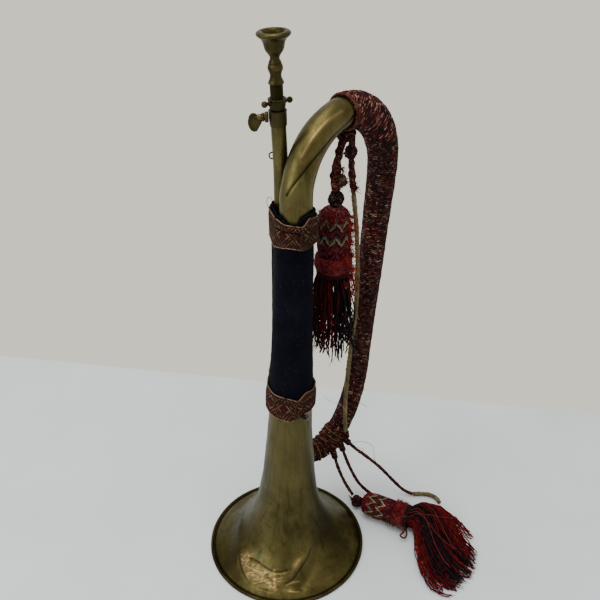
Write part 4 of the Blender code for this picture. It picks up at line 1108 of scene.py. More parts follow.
def make_covers():
    slant = cover_look("bow_cover_cord", 1.9 * MM, 0.415)
    rows = cover_look("branch_cover_cord", 1.9 * MM)
    start = radians(92.0)
    arc = np.vstack([[bow_point(a) for a in np.linspace(start, 0.0, 80)], [branch_point(0.3754)]])
    radii = ((0.0, 0.0156), (0.06, 0.0163), (0.35, 0.0164), (0.7, 0.0152), (1.0, 0.014))
    line, outer = cover_grid(arc, radii, 200, 0.0005, 2.0 * MM, 61, lean=7.0, depth=0.00055)
    share = 0.93 - 0.1 * bell_curve(np.arange(len(outer)), 6.0)
    cover_bag(line, outer, share[:, None, None]).build("bow_cord_cover", slant, "cord_cover", ["bow_cover"])
    # bound lip where the cover begins
    lip_look = yarn_look("lip_yarn", ((0.04, 0.014, 0.01), (0.12, 0.05, 0.028), MAROON, (0.07, 0.04, 0.02)))
    bag = Bag()
    for i, (offset, size, reach) in enumerate(((0.0, 0.0008, 0.015), (0.0012, 0.0008, 0.0157))):
        centre = bow_point(start - offset / BOW_RADIUS)
        along = np.array((-sin(start), 0.0, cos(start)))
        turn = np.linspace(0.0, 2 * pi, 160)
        out = unit(centre - np.array((BELL_LEAN * BOW_Z + BOW_RADIUS, 0.0, BOW_Z)))
        ring = centre + reach * circle(turn, out, np.array((0.0, 1.0, 0.0)))
        ring += along * (0.0006 * np.sin(2 * turn + i))[:, None]
        bag.tube(ring, twist(size, 0.2, 0.0022), 12, caps=False, first=along)
    bag.build("bow_cover_lip", lip_look, "cord_cover")
    line = np.array([branch_point(z) for z in np.linspace(0.3754, 0.1746, 100)])
    radii = ((0.0, 0.014), (0.4, 0.0126), (0.75, 0.0115), (1.0, 0.0112))
    line, outer = cover_grid(line, radii, 150, 0.00048, 1.75 * MM, 63, lean=1.0, depth=0.00045)
    cover_bag(line, outer).build("branch_cord_cover", rows, "cord_cover", ["branch_cover"])
    line = line_of(bottom_bow_point, 0.002, 0.297, 0.0005)
    line, outer = cover_grid(line, ((0.0, 0.0112), (1.0, 0.0112)), 140, 0.0005, 1.75 * MM, 65, lean=1.0,
        depth=0.00045)
    cover_bag(line, outer).build("lower_bow_cord_cover", rows, "cord_cover", ["bottom_bow_cover"])
    make_winding()


WINDING = ((0.3, 0.0128), (0.33, 0.0136), (0.37, 0.0138), (0.435, 0.0129), (0.55, 0.0119), (0.86, 0.0119))


def make_winding():
    """Rough cord wound round the bottom bow, thickest where the cords leave it."""
    look = fleck_look("winding_cord", 2.6 * MM, 1.2 * MM, 35.0, COVER_STOPS, 0.0006)
    low, high = WINDING[0][0], WINDING[-1][0]
    shares = np.linspace(low, high, 400)
    dense = np.array([bottom_bow_point(t) for t in shares])
    core = evenly(dense, 0.0008)
    along = np.interp(run_along(core), run_along(dense), shares)
    size = lookup(along, WINDING)
    bag = Bag()
    bag.tube(core, size - 0.0019, 64)
    _, side, above = frames(core, (0.0, 1.0, 0.0))
    run = run_along(core)
    rng = np.random.default_rng(71)

    def wound(start, end, pitch, lift, thick, wander, slot):
        length = end - start
        turns = abs(length) / pitch
        share = np.linspace(0.0, 1.0, int(turns * 40))
        at = start + length * share
        angle = 2 * pi * turns * share + rng.uniform(0, 6)
        at = at + wander * np.sin(angle * 0.31 + 1.0) + wander * 0.6 * np.sin(angle * 0.73)
        at = np.clip(at, 0.0006, run[-1] - 0.0006)
        pick = [np.stack([np.interp(at, run, way[:, i]) for i in range(3)], 1) for way in (core, side,
            above)]
        reach = np.interp(at, run, size) + lift + 0.0004 * np.sin(angle * 0.5)
        line = pick[0] + reach[:, None] * circle(angle, pick[1], pick[2])
        bag.tube(evenly(line, 0.0009), twist(thick, 0.16, 0.0026), 9, slot=slot, first=(0.3, 0.2, 0.9))
    end = run[-1]
    wound(0.001, end - 0.001, 0.0021, -0.0015, 0.00115, 0.0007, 0)
    wound(0.002, end * 0.62, 0.0085, -0.0006, 0.001, 0.0022, 1)
    wound(end * 0.5, 0.004, 0.011, -0.0005, 0.001, 0.002, 0)
    bag.build("lower_bow_winding", [look, yarn_look("winding_yarn", (MAROON, STRAW, INK, (0.15, 0.09,
        0.05)))], "cord_cover", ["bottom_bow_winding"])
    # small knots that hold the cords where they leave the winding
    lashings = Bag()
    for k, route in enumerate((CORD_A, CORD_B, CORD_C, CORE_ROUTE[::-1])):
        start, after = np.array(route[0]), np.array(route[1])
        back = unit(start - after)
        add_knot(lashings, start + back * 0.0016, 0.0038, 0.0011, 173 + k, wraps=6)
        ring = np.linspace(0.0, 2 * pi * 2.6, 90)
        one = unit(np.cross(back, (0.2, 0.3, 0.9)))
        two = np.cross(back, one)
        turns = (start - back * (0.001 + 0.0016 * ring[:, None] / (2 * pi)) + 0.0027 * circle(ring, one,
            two))
        lashings.tube(turns, 0.0009, 8, first=tuple(back))
    lashings.build("cord_lashings", look, "cord_cover")


# ---------------------------------------------------------------- cords, knots and tufts
def add_knot(bag, centre, radius, thick, seed, squash=(1.0, 1.0, 1.0), slot=0, wraps=9):
    """A ball of wound cord: one long path that crosses itself all over a core."""
    rng = np.random.default_rng(seed)
    reach = radius - thick
    angle = np.linspace(0.0, 2 * pi * wraps, wraps * 44)
    tilt = 1.0 / wraps * 2.2 * angle
    wide, thin = np.cos(angle), 0.25 * np.sin(angle)
    line = np.stack(
        [wide * np.cos(tilt) - thin * np.sin(tilt), wide * np.sin(tilt) + thin * np.cos(tilt),
            np.sin(angle)], 1)
    line = unit(line) * (reach * (1.0 + 0.06 * np.sin(angle * 2.7 + 1.0)))[:, None]
    spin = np.linalg.qr(rng.normal(size=(3, 3)))[0]
    line = (line @ spin) * squash + np.array(centre)
    line[:, 2] = np.maximum(line[:, 2], thick * 1.2 + ABOVE_TABLE)
    bag.tube(evenly(line, thick * 0.6), twist(thick, 0.15, thick * 2.4), 10, slot=slot, first=(0.2, 0.9,
        0.4))
    ball = []
    for polar in np.linspace(0.001, pi - 0.001, 14):
        turn = np.linspace(0.0, 2 * pi, 24, endpoint=False)
        ball.append(np.stack([np.sin(polar) * np.cos(turn), np.sin(polar) * np.sin(turn),
            np.full(24, np.cos(polar))], 1) * (reach * 0.96) * squash + np.array(centre))
    bag.grid(np.array(ball)[::-1], slot=slot)


def add_tuft(bag, centre, way, count, length, thick, spread, seed, slots=(0,), sides=4):
    """Frayed fibres that leave one place, fan out and curl."""
    rng = np.random.default_rng(seed)
    way = unit(np.array(way, float))
    for i in range(count):
        aim = unit(way + rng.normal(size=3) * spread)
        curl = rng.normal(size=3)
        size = length * rng.uniform(0.45, 1.15)
        t = np.linspace(0.0, 1.0, 7)[:, None]
        start = np.array(centre) + rng.normal(size=3) * thick * 2.0
        bend = curl * (0.28 * size) * t ** 2
        line = start + aim * size * t + bend + rng.normal(size=3) * 0.12 * size * t ** 3
        line[:, 2] = np.maximum(line[:, 2], thick * 1.1)
        bag.tube(line, thick * (1.0 - 0.5 * t[:, 0]), sides, slot=slots[i % len(slots)], first=(0.3, 0.9,
            0.2))


def plait(radius, strands=4, pitch=3.2):
    """Radius of a plaited cord, as a function of run and angle: two sets of strands that cross."""
    turn = 2 * pi / (pitch * 2 * radius)

    def at(run, angle):
        one = np.cos(strands * 0.5 * angle + run * turn)
        two = np.cos(strands * 0.5 * angle - run * turn)
        return radius * (0.9 + 0.13 * np.maximum(np.abs(one), np.abs(two)))
    return at


def rope(radius, strands=3, pitch=3.0):
    """Radius of a laid cord, whose strands all turn one way."""
    turn = 2 * pi / (pitch * 2 * radius)

    def at(run, angle):
        return radius * (0.84 + 0.18 * np.abs(np.cos(strands * 0.5 * (angle - run * turn))))
    return at


def ragged(shape, seed, amount=0.1):
    def at(run, angle):
        rng = np.random.default_rng(seed)
        a, b, c = rng.uniform(0, 6, 3)
        return shape(run, angle) * (1.0 + amount * np.sin(run * 410.0 + a) * np.sin(run * 173.0 + b) + 0.4
            * amount * np.sin(angle + run * 900.0 + c))
    return at


HANGER_LEFT = ((0.076, -0.001, 0.4249), (0.0712, -0.0012, 0.415), (0.066, -0.001, 0.402),
    (0.0668, -0.0004, 0.39), (0.0692, 0.0, 0.3809))
HANGER_RIGHT = ((0.0814, 0.001, 0.4249), (0.0784, 0.0014, 0.415), (0.0752, 0.0014, 0.402),
    (0.0748, 0.001, 0.392), (0.0742, 0.0002, 0.3807))
CORE_ROUTE = ((0.0925, 0.0, 0.4038), (0.0938, 0.0, 0.393), (0.0966, 0.0, 0.376), (0.105, 0.0, 0.332),
    (0.1096, 0.0, 0.288), (0.1094, -0.0002, 0.24), (0.103, -0.0006, 0.196), (0.095, -0.003, 0.15),
    (0.0905, -0.0062, 0.112), (0.0901, -0.0086, 0.0925))
CORD_A = ((0.079, -0.0012, 0.068), (0.0815, -0.0062, 0.048), (0.085, -0.012, 0.03), (0.0868, -0.018, 0.0195),
    (0.0874, -0.0236, 0.0132))
CORD_B = ((0.0862, -0.0061, 0.0768), (0.0905, -0.011, 0.056), (0.095, -0.016, 0.038),
    (0.1005, -0.0225, 0.0205), (0.1068, -0.031, 0.008), (0.11, -0.04, 0.0026), (0.108, -0.049, 0.0022),
    (0.1018, -0.056, 0.0022))
CORD_C = ((0.0937, -0.0068, 0.0808), (0.101, -0.016, 0.068), (0.1075, -0.0228, 0.059),
    (0.1185, -0.037, 0.0415), (0.1285, -0.052, 0.0205), (0.135, -0.0615, 0.0085), (0.141, -0.07, 0.0028))
TAIL = ((0.1418, -0.071, 0.0027), (0.147, -0.0765, 0.0027), (0.1525, -0.085, 0.0027),
    (0.1535, -0.094, 0.0027), (0.15, -0.101, 0.0027))


def make_cord(name, knots, shape, looks, node, body="instrument",
              slot="cord_cover"):
    line = spline(knots, 0.0006)
    piece = Bag().tube(line, shape, 14).build(name, looks, slot, [node], body=body)


# ---------------------------------------------------------------- tassels
def head_look(name, length, straw):
    """Woven zigzag rows round a tassel's head: straw peaks, each followed by an olive band of painted shadow,
    on red and black.
    """
    look = Look(name, Roughness=0.9, Specular_IOR_Level=0.08)
    across, up, _ = look.split(look.uv)
    wander = look.times(look.noise(260.0, 4.0, 0.6), 7.0 * MM)
    peak = look.times(look.math("PINGPONG", across, 5.2 * MM), 1.45)
    level = look.over(look.plus(look.plus(up, peak), wander), length)
    red, dark, olive = (0.082, 0.004, 0.01), (0.007, 0.003, 0.006), (0.036, 0.034, 0.018)
    # the olive band next to each straw zigzag is painted shadow of the raised cord
    tone = look.ramp(level, ((0.0, red), (0.1, dark), (0.18, red), (0.27, dark), (0.34, red), (0.46, dark),
        (0.52, straw), (0.575, olive), (0.64, dark), (0.7, red), (0.78, dark), (0.84, straw), (0.895, olive),
        (0.95, red)), hard=True)
    stitch = look.scaled(look.uv, (1.0 / (0.75 * MM), 1.0 / (1.9 * MM), 1.0), (0, 0, radians(12)))
    key = look.split(look.cells(stitch, 0.6))[0]
    tone = look.stain(tone, dark, key, (0.0, 0.85), (0.5, 0.0))
    tone = look.stain(tone, ROSE, key, (0.84, 0.0), (0.92, 0.45))
    look.feed("Base Color", tone)
    edge = look.cells(stitch, 0.6, "Distance")
    look.bump(look.plus(look.minus(1.0, edge), look.times(look.noise(1200.0, 3.0, 0.7), 0.7)), 0.0006, 0.9)
    return look.material


ABOVE_TABLE = 0.0003


def head_grid(start, way, length, radius, seed, rows=90, around=150):
    """Tassel head along a direction from its knot end: puckered top, barrel body, zigzag relief."""
    way, side, above = ways_round(way)
    angle = turns_of(around)
    share = np.linspace(0.0, 1.0, rows)
    profile = lookup(share, ((0.0, 0.4), (0.03, 0.62), (0.09, 0.82), (0.18, 0.93), (0.3, 0.97), (0.6, 1.0),
        (0.85, 0.985), (0.97, 0.97), (1.0, 0.9)))
    reach = radius * profile[:, None] * np.ones(around)
    pucker = np.clip(1.0 - share / 0.3, 0.0, 1.0)[:, None]
    reach = reach * (1.0 - 0.07 * pucker * (0.5 + 0.5 * np.cos(13 * angle)))
    along = share[:, None] * length
    girth = 2 * pi * radius
    peak = 1.25 * np.abs((angle / (2 * pi) * girth / 0.0104 % 1.0) * 2 - 1.0) * 0.0052
    cord = 0.0003 * np.abs(np.sin((along + peak) / 0.0034 * pi)) ** 0.6
    knit = 0.00012 * np.sin(angle * girth / 0.0008 / 2) * np.ones_like(along)
    centre = np.array(start) + along[..., None] * way
    grid = centre + (reach + cord + knit)[..., None] * circle(angle, side, above)
    out = unit(grid - centre)
    grid = grid + out * bumps(grid, (0.014, seed, 0.00055), (0.005, seed + 1, 0.00018))
    grid[..., 2] = np.maximum(grid[..., 2], ABOVE_TABLE)
    return grid, share[::-1] * length, girth


def make_head(name, start, way, length, radius, seed, body, node, straw):
    grid, run, girth = head_grid(start, way, length, radius, seed)
    Bag().grid(grid, run, girth, caps=True).build(name, head_look(name + "_weave", length, straw),
        "tassel_red", [node], body=body)


def velvet_look(name):
    look = Look(name, Roughness=1.0, Specular_IOR_Level=0.06, Sheen_Weight=0.05)
    tone = look.ramp(look.noise(190.0, 4.0, 0.65), ((0.28, (0.03, 0.002, 0.003)),
        (0.52, (0.125, 0.009, 0.013)), (0.78, (0.23, 0.036, 0.04))))
    pit = look.noise(760.0, 3.0, 0.7)
    tone = look.stain(tone, (0.012, 0.001, 0.002), pit, (0.34, 0.7), (0.54, 0.0))
    look.feed("Base Color", tone)
    look.bump(pit, 0.0007, 0.9)
    return look.material


def make_velvet(name, start, way, length, radius, seed, body, node, fuzz):
    """Fuzzy roll of cut pile round the tassel's waist, with short fibres that stand out of it."""
    way, side, above = ways_round(way)
    around, rows = 120, 40
    angle = turns_of(around)
    share = np.linspace(0.0, 1.0, rows)
    profile = lookup(share, ((0.0, 0.84), (0.1, 0.955), (0.3, 1.0), (0.55, 1.0), (0.85, 0.95), (1.0, 0.84)))
    centre = np.array(start) + (share * length)[:, None, None] * way
    out = circle(angle, side, above)
    grid = centre + (radius * profile)[:, None, None] * out[None]
    grid = grid + out[None] * bumps(grid, (0.01, seed, 0.0006), (0.0035, seed + 1, 0.00035))
    grid[..., 2] = np.maximum(grid[..., 2], ABOVE_TABLE)
    bag = Bag()
    bag.grid(grid, share * length, caps=True)
    rng = np.random.default_rng(seed + 2)
    steps, bends = np.array([[0.0], [0.55], [1.0]]), np.array([[0.0], [0.4], [1.0]])
    for _ in range(fuzz):
        i, j = rng.integers(1, rows - 1), rng.integers(around)
        aim = unit(out[j] + rng.normal(size=3) * 0.55)
        root = grid[i, j] - out[j] * 0.0003
        size = rng.uniform(0.0008, 0.0019)
        line = root + aim * size * steps + rng.normal(size=3) * 0.0003 * bends
        line[:, 2] = np.maximum(line[:, 2], 0.0003)
        bag.tube(line, np.array((0.00016, 0.00013, 0.00007)), 3, caps=False)
    bag.build(name, velvet_look(name + "_pile"), "tassel_red", [node], body=body)


RED_YARN = ((0.026, 0.0007, 0.0012), (0.085, 0.0016, 0.0025), (0.17, 0.005, 0.005))
DARK_RED_YARN = ((0.012, 0.0006, 0.001), (0.042, 0.0012, 0.0018), (0.085, 0.003, 0.003))
NAVY_YARN = ((0.0014, 0.0011, 0.0022), (0.0028, 0.0022, 0.005), (0.0065, 0.0045, 0.0085))


def yarn_line(start, end, sag, rng, count=22, crimp=0.0005, wander=0.0016):
    """One crimped yarn from start to end, through a point that sags between them."""
    t = np.linspace(0.0, 1.0, count)[:, None]
    start, end = np.array(start), np.array(end)
    line = start * (1 - t) + end * t + np.array(sag) * (4 * t * (1 - t))
    phase = rng.uniform(0, 2 * pi, (4, 3))
    size = np.linalg.norm(end - start)
    turns = size / 0.0085
    line = line + crimp * np.sin(2 * pi * turns * t + phase[0]) * t ** 0.5
    line = line + wander * t * (np.sin(2 * pi * 1.1 * t + phase[1]) - np.sin(phase[1]))
    return line


def make_hanging_fringe():
    """Crimped yarns that hang from the velvet band: red on one side, navy on the other, in loose locks."""
    rng = np.random.default_rng(81)
    bag = Bag()
    middle = np.array((0.07, 0.0, 0.3034))
    side = np.array(VIEW_SIDE)
    for _ in range(135):
        turn = rng.uniform(0, 2 * pi)
        share = np.sqrt(rng.uniform(0.1, 1.0))
        out = np.array((cos(turn), sin(turn), 0.0))
        root = middle + out * share * 0.0142
        lock = (np.round(turn / (2 * pi) * 17.0) + rng.uniform(-0.2, 0.2)) / 17.0 * 2 * pi
        drift = np.array((cos(lock), sin(lock), 0.0)) * (rng.uniform(0.88, 1.08) * share * 0.0222)
        end = middle * (1.0, 1.0, 0.0) + drift + rng.normal(size=3) * (0.0014, 0.0014, 0.0)
        end[2] = rng.uniform(0.2125, 0.23) + 0.012 * rng.uniform() ** 3
        lean = (out @ side) + rng.normal() * 0.4
        slot = 1 if lean < -0.35 else (0 if lean < 0.15 else 2)
        if rng.uniform() < 0.15:
            slot = (slot + 1) % 3
        sag = out * share * 0.0022 + rng.normal(size=3) * (0.0012, 0.0012, 0.0)
        line = yarn_line(root, end, sag, rng, crimp=0.0008, wander=0.0022)
        bag.tube(evenly(line, 0.002), rope(0.0007 * rng.uniform(0.75, 1.2), 2, 2.6), 6, slot=slot)
        if rng.uniform() < 0.6:
            add_tuft(bag, line[-1], (0.0, 0.0, -1.0), 3, 0.0045, 0.00019, 0.6, int(rng.integers(1 << 30)),
                (slot,), 3)
    # one lock hangs lower than the rest
    for k in range(3):
        line = yarn_line((0.076 + 0.0012 * k, -0.006, 0.303),
            (0.08 + 0.0006 * k, -0.0012, 0.201 - 0.003 * k), (0.0, 0.0, 0.0), rng, crimp=0.0003,
            wander=0.0008)
        bag.tube(evenly(line, 0.0022), rope(0.00066, 2, 2.6), 6, slot=2)
        add_tuft(bag, line[-1], (0.1, 0.0, -1.0), 5, 0.0055, 0.00016, 0.5, 820 + k, (2,), 3)
    # a few orange threads have slipped out at the right, below the band
    for _ in range(16):
        across = side * rng.uniform(0.012, 0.016) + upward(0.304)
        root = middle * (1.0, 1.0, 0.0) + across
        end = root + side * rng.uniform(0.003, 0.0075) + upward(-rng.uniform(0.012, 0.045))
        line = yarn_line(root, end, side * rng.uniform(0.001, 0.003), rng, crimp=0.0009, wander=0.002)
        bag.tube(evenly(line, 0.0018), rope(0.00042, 2, 2.6), 6, slot=3)
    looks = [yarn_look("yarn_red", RED_YARN), yarn_look("yarn_dark_red", DARK_RED_YARN),
        yarn_look("yarn_navy", NAVY_YARN),
        yarn_look("yarn_slipped", ((0.1, 0.005, 0.004), (0.26, 0.022, 0.012)))]
    bag.build("hanging_yarns", looks, "tassel_dark", ["hanging_fringe"], body="hanging_tassel")
    # dark binding above the yarns
    bag = Bag()
    for k in range(3):
        turn = np.linspace(0.0, 2 * pi * 1.03, 120)
        ring = np.stack(
            [0.07 + 0.015 * np.cos(turn), 0.015 * np.sin(turn), 0.3036 - 0.0013 * k + 0.0005
                * np.sin(3 * turn + k)], 1)
        bag.tube(ring, rope(0.0008, 2, 2.4), 8, first=(0.0, 0.0, 1.0))
    bag.build("hanging_binding", yarn_look("binding_dark", ((0.006, 0.003, 0.004), (0.03, 0.004, 0.006))),
        "tassel_dark", body="hanging_tassel")
    make_hanging_fuzz(side)


def make_hanging_fuzz(side):
    """Frayed fibres of the hanging tassel: red and orange down its right side, pale ones round its top."""
    rng = np.random.default_rng(89)
    bag = Bag()
    centre = np.array((0.07, 0.0, 0.0))
    front = np.array((side[1], -side[0], 0.0))
    for k in range(26):
        height = 0.356 - 0.065 * (k + rng.uniform(-0.5, 0.5)) / 26.0
        turn = rng.normal() * 0.55
        way = side * cos(turn) + front * sin(turn)
        reach = 0.0142 if height > 0.32 else 0.0158
        add_tuft(bag, centre + way * reach + upward(height), way + upward(-0.5), 30, rng.uniform(0.004,
            0.008), 0.00026, 0.7, 830 + k, (0, 1))
    for k in range(60):
        height = 0.3625 - (0.015 if k % 2 else 0.056) * rng.uniform()
        turn = rng.uniform(0, 2 * pi)
        way = side * cos(turn) + front * sin(turn)
        reach = 0.0158 if height < 0.32 else (0.014 if height < 0.358 else 0.0115)
        add_tuft(bag, centre + way * reach + upward(height), way + upward(-0.5), 14, 0.004, 0.00022, 0.7,
            1870 + k, (1, 3, 3))
    for k, (dx, height) in enumerate(((-1.0, 0.36), (-0.9, 0.356), (-0.45, 0.364), (0.1, 0.365),
            (0.5, 0.363), (0.9, 0.36), (-0.7, 0.352))):
        root = centre + side * 0.0115 * dx + front * 0.0085 * (1.0 - abs(dx) * 0.5) + upward(height)
        add_tuft(bag, root, side * dx + front * 0.6 + upward(0.3), 22, 0.0045, 0.00022, 0.8, 850 + k,
            (2, 2, 1), 3)
    orange = yarn_look("yarn_orange", ((0.11, 0.004, 0.004), (0.26, 0.02, 0.012), (0.34, 0.055, 0.022)))
    bag.build("hanging_fuzz", [orange, yarn_look("fuzz_red", ((0.09, 0.002, 0.003), (0.26, 0.006, 0.01))),
        yarn_look("fuzz_pale", ((0.11, 0.085, 0.07), (0.33, 0.29, 0.24))), yarn_look("fuzz_dark",
        DARK_RED_YARN)], "tassel_red", body="hanging_tassel")


LYING_START = np.array((0.0857, -0.0385, 0.0142))
LYING_WAY = np.array((0.249, -0.9685, 0.0))
LYING_HEAD, LYING_BAND = 0.037, 0.015
# the mop of yarns: (reach from the neck, edges to the left and right of it, bottom and top)
MOP = np.array(((0.0, -0.011, 0.011, 0.003, 0.025), (0.01, -0.012, 0.03, 0.0012, 0.0275), (0.024, -0.03,
    0.04, 0.0008, 0.0265), (0.042, -0.051, 0.038, 0.0006, 0.0215), (0.058, -0.062, 0.032, 0.0006, 0.016),
    (0.072, -0.062, 0.027, 0.0006, 0.01), (0.086, -0.052, 0.014, 0.0006, 0.005)))
MOP_TURN = 0.024


def mop_line(neck, reach, share, lift):
    """Points of the mop: how far out, how far across (0 to 1) and how high in it (0 to 1)."""
    main = unit(np.array((0.1, -0.995, 0.0)))
    turn = np.minimum(1.0, reach / MOP_TURN)[:, None]
    way = unit(LYING_WAY * (1.0 - turn) + main * turn)
    across = np.stack([-way[:, 1], way[:, 0], np.zeros(len(way))], 1)
    left, right, low, high = (np.interp(reach, MOP[:, 0], MOP[:, k]) for k in (1, 2, 3, 4))
    line = neck + way * reach[:, None] + across * (left + (right - left) * share)[:, None]
    dome = np.sqrt(np.clip(1.0 - 0.92 * (2.0 * share - 1.0) ** 2, 0.0, 1.0))
    line[:, 2] = low + (high - low) * lift * dome
    return line


def make_lying_fringe():
    """Yarns that rise over the neck, arc outwards and sink to the table: red outside, near black inside."""
    rng = np.random.default_rng(91)
    bag = Bag()
    neck = LYING_START + LYING_WAY * (LYING_HEAD + LYING_BAND + 0.0003)
    for _ in range(350):
        begin, layer = rng.uniform(0.08, 0.92), np.sqrt(rng.uniform(0.02, 1.0))
        finish = np.clip(begin + rng.normal() * 0.1, 0.02, 0.98)
        lock = (np.round(finish * 17.0) + 0.2 * rng.normal()) / 17.0
        long = rng.uniform(0.056, 0.086) - 0.008 * (2 * finish - 1.0) ** 2
        if finish > 0.8:
            long -= 0.01
        t = np.linspace(0.0, 1.0, 34)
        share = begin + (finish - begin) * np.clip(t * 2.0, 0.0, 1.0) ** 1.5 + (lock - finish) * t ** 2 * 0.8
        share = np.clip(share + 0.032 * np.sin(2 * pi * rng.uniform(0.6, 1.4) * t + rng.uniform(0, 6)) * t,
            0.01, 0.99)
        lift = layer * (1.0 - 0.55 * t ** 3)
        line = mop_line(neck, long * t, share, lift)
        phase = rng.uniform(0, 2 * pi, (2, 3))
        line = line + 0.00055 * np.sin(2 * pi * long / 0.008 * t[:, None] + phase[0]) * t[:, None] ** 0.4
        thick = 0.00066 * rng.uniform(0.75, 1.15)
        line[:, 2] = np.maximum(line[:, 2], thick * 1.2)
        centre = abs(finish - 0.43) * 2.0 + rng.normal() * 0.15
        slot = 2 if centre < 0.44 else (1 if centre < 0.62 else 0)
        if slot == 2 and rng.uniform() < 0.18:
            slot = 0
        bag.tube(evenly(line, 0.0024), rope(thick, 2, 2.6), 6, slot=slot)
        if rng.uniform() < 0.5:
            add_tuft(bag, line[-1], line[-1] - line[-4], 3, 0.0036, 0.00017, 0.6, int(rng.integers(1 << 30)),
                (slot,), 3)
    # a few lighter rose yarns lie across the top of the mop, partly as painted highlights along it
    for k, (begin, finish, long) in enumerate(((0.15, 0.85, 0.04), (0.3, 0.58, 0.062), (0.42, 0.3, 0.066),
            (0.7, 0.5, 0.06))):
        t = np.linspace(0.0, 1.0, 40)
        share = begin + (finish - begin) * t ** 1.3 + 0.03 * np.sin(5.0 * t + k) * t
        line = mop_line(neck, long * t, share, 1.0 - 0.1 * t ** 3)
        line[:, 2] += 0.0006
        bag.tube(evenly(line, 0.0022), rope(0.00052, 2, 2.6), 6, slot=3)
    looks = [yarn_look("lying_yarn_red", RED_YARN), yarn_look("lying_yarn_dark_red", DARK_RED_YARN),
        yarn_look("lying_yarn_navy", NAVY_YARN),
        yarn_look("lying_yarn_rose", ((0.075, 0.006, 0.006), (0.135, 0.022, 0.02)))]
    bag.build("lying_yarns", looks, "tassel_dark", ["lying_fringe"])
    bag = Bag()
    side = np.cross((0.0, 0.0, 1.0), LYING_WAY)
    for k in range(3):
        turn = np.linspace(0.0, 2 * pi * 1.03, 100)
        centre = LYING_START + LYING_WAY * (LYING_HEAD + LYING_BAND - 0.0006 + 0.0014 * k)
        reach = 0.0128 - 0.0002 * k
        ring = centre + reach * circle(turn, side, upward(1.0))
        bag.tube(ring, rope(0.00085, 2, 2.4), 8, first=LYING_WAY)
    bag.build("lying_binding", yarn_look("lying_binding_dark", ((0.004, 0.002, 0.004), (0.016, 0.004,
        0.007))), "tassel_dark")
    make_lying_fuzz(side)


def make_lying_fuzz(side):
    """Frayed bits of the lying tassel: pale and olive ones at the band's near side, and a loop of red cord."""
    rng = np.random.default_rng(97)
    bag = Bag()
    near = -side
    for k in range(30):
        along = LYING_HEAD + LYING_BAND * rng.uniform(-0.3, 1.05)
        turn = rng.uniform(-0.9, 0.9)
        way = near * cos(turn) + upward(1.0) * sin(turn)
        root = LYING_START + LYING_WAY * along + way * 0.0128
        slots = (1, 2) if turn < 0.0 or k % 3 == 0 else (0, 0, 2)
        add_tuft(bag, root, way + LYING_WAY * 0.4, 14, 0.0042, 0.0002, 0.7, 900 + k, slots, 3)
    for k in range(24):
        along = LYING_HEAD + LYING_BAND * rng.uniform(-0.1, 1.0)
        turn = rng.uniform(0.6, 2.6)
        way = near * cos(turn) + upward(1.0) * sin(turn)
        add_tuft(bag, LYING_START + LYING_WAY * along + way * 0.013, way, 12, 0.0034, 0.00019, 0.7, 940 + k,
            (0,), 3)
    foot = LYING_START + LYING_WAY * (LYING_HEAD + LYING_BAND + 0.002) + near * 0.011
    route = ((0.0, 0.0, -0.004), (0.006, 0.0, -0.006), (0.01, -0.002, -0.008), (0.011, 0.003, -0.0085),
        (0.006, 0.004, -0.0075), (0.001, 0.001, -0.006))
    loop = spline([foot + near * out + LYING_WAY * along + upward(low) for out, along, low in route], 0.0006)
    loop[:, 2] = np.maximum(loop[:, 2], 0.0012)
    bag.tube(loop, rope(0.00095, 2, 2.6), 8, slot=3)
    bag.build("lying_fuzz", [yarn_look("lying_fuzz_red", ((0.09, 0.002, 0.003), (0.22, 0.008, 0.01))),
        yarn_look("lying_fuzz_sand", ((0.12, 0.09, 0.05), (0.33, 0.27, 0.18))), yarn_look("lying_fuzz_olive",
        ((0.03, 0.026, 0.01), (0.1, 0.085, 0.035))), yarn_look("lying_loop_red", RED_YARN)], "tassel_red")


def make_tassels(mottled):
    make_head("hanging_head_weave", (0.07, 0.0, 0.3662), (0.0, 0.0, -1.0), 0.0462, 0.0152, 101,
        "hanging_tassel", "hanging_head", straw=(0.15, 0.125, 0.085))
    make_velvet("hanging_velvet", (0.07, 0.0, 0.32), (0.0, 0.0, -1.0), 0.0165, 0.0172, 103, "hanging_tassel",
        "hanging_band", 1300)
    make_hanging_fringe()
    make_head("lying_head_weave", LYING_START, LYING_WAY, LYING_HEAD, 0.0131, 111, "instrument",
        "lying_head", straw=(0.27, 0.205, 0.125))
    make_velvet("lying_velvet", LYING_START + LYING_WAY * LYING_HEAD, LYING_WAY, LYING_BAND, 0.0137, 113,
        "instrument", "lying_band", 1200)
    make_lying_fringe()
    bag = Bag()
    add_knot(bag, (0.0715, 0.0, 0.3735), 0.0074, 0.0014, 121)
    grey = fleck_look("hanging_ball_cord", 2.0 * MM, 1.0 * MM, 30.0, GREY_STOPS, 0.0005)
    knot = bag.build("hanging_ball", grey, "cord_cover", ["hanging_knot"], body="hanging_tassel")
    bag = Bag()
    add_knot(bag, (0.0869, -0.0302, 0.0079), 0.007, 0.0014, 122)
    add_tuft(bag, (0.085, -0.025, 0.01), (-0.3, 0.8, 0.3), 22, 0.006, 0.00022, 0.7, 123)
    lying = bag.build("lying_ball", mottled, "cord_cover", ["lying_knot"])
    return knot, lying


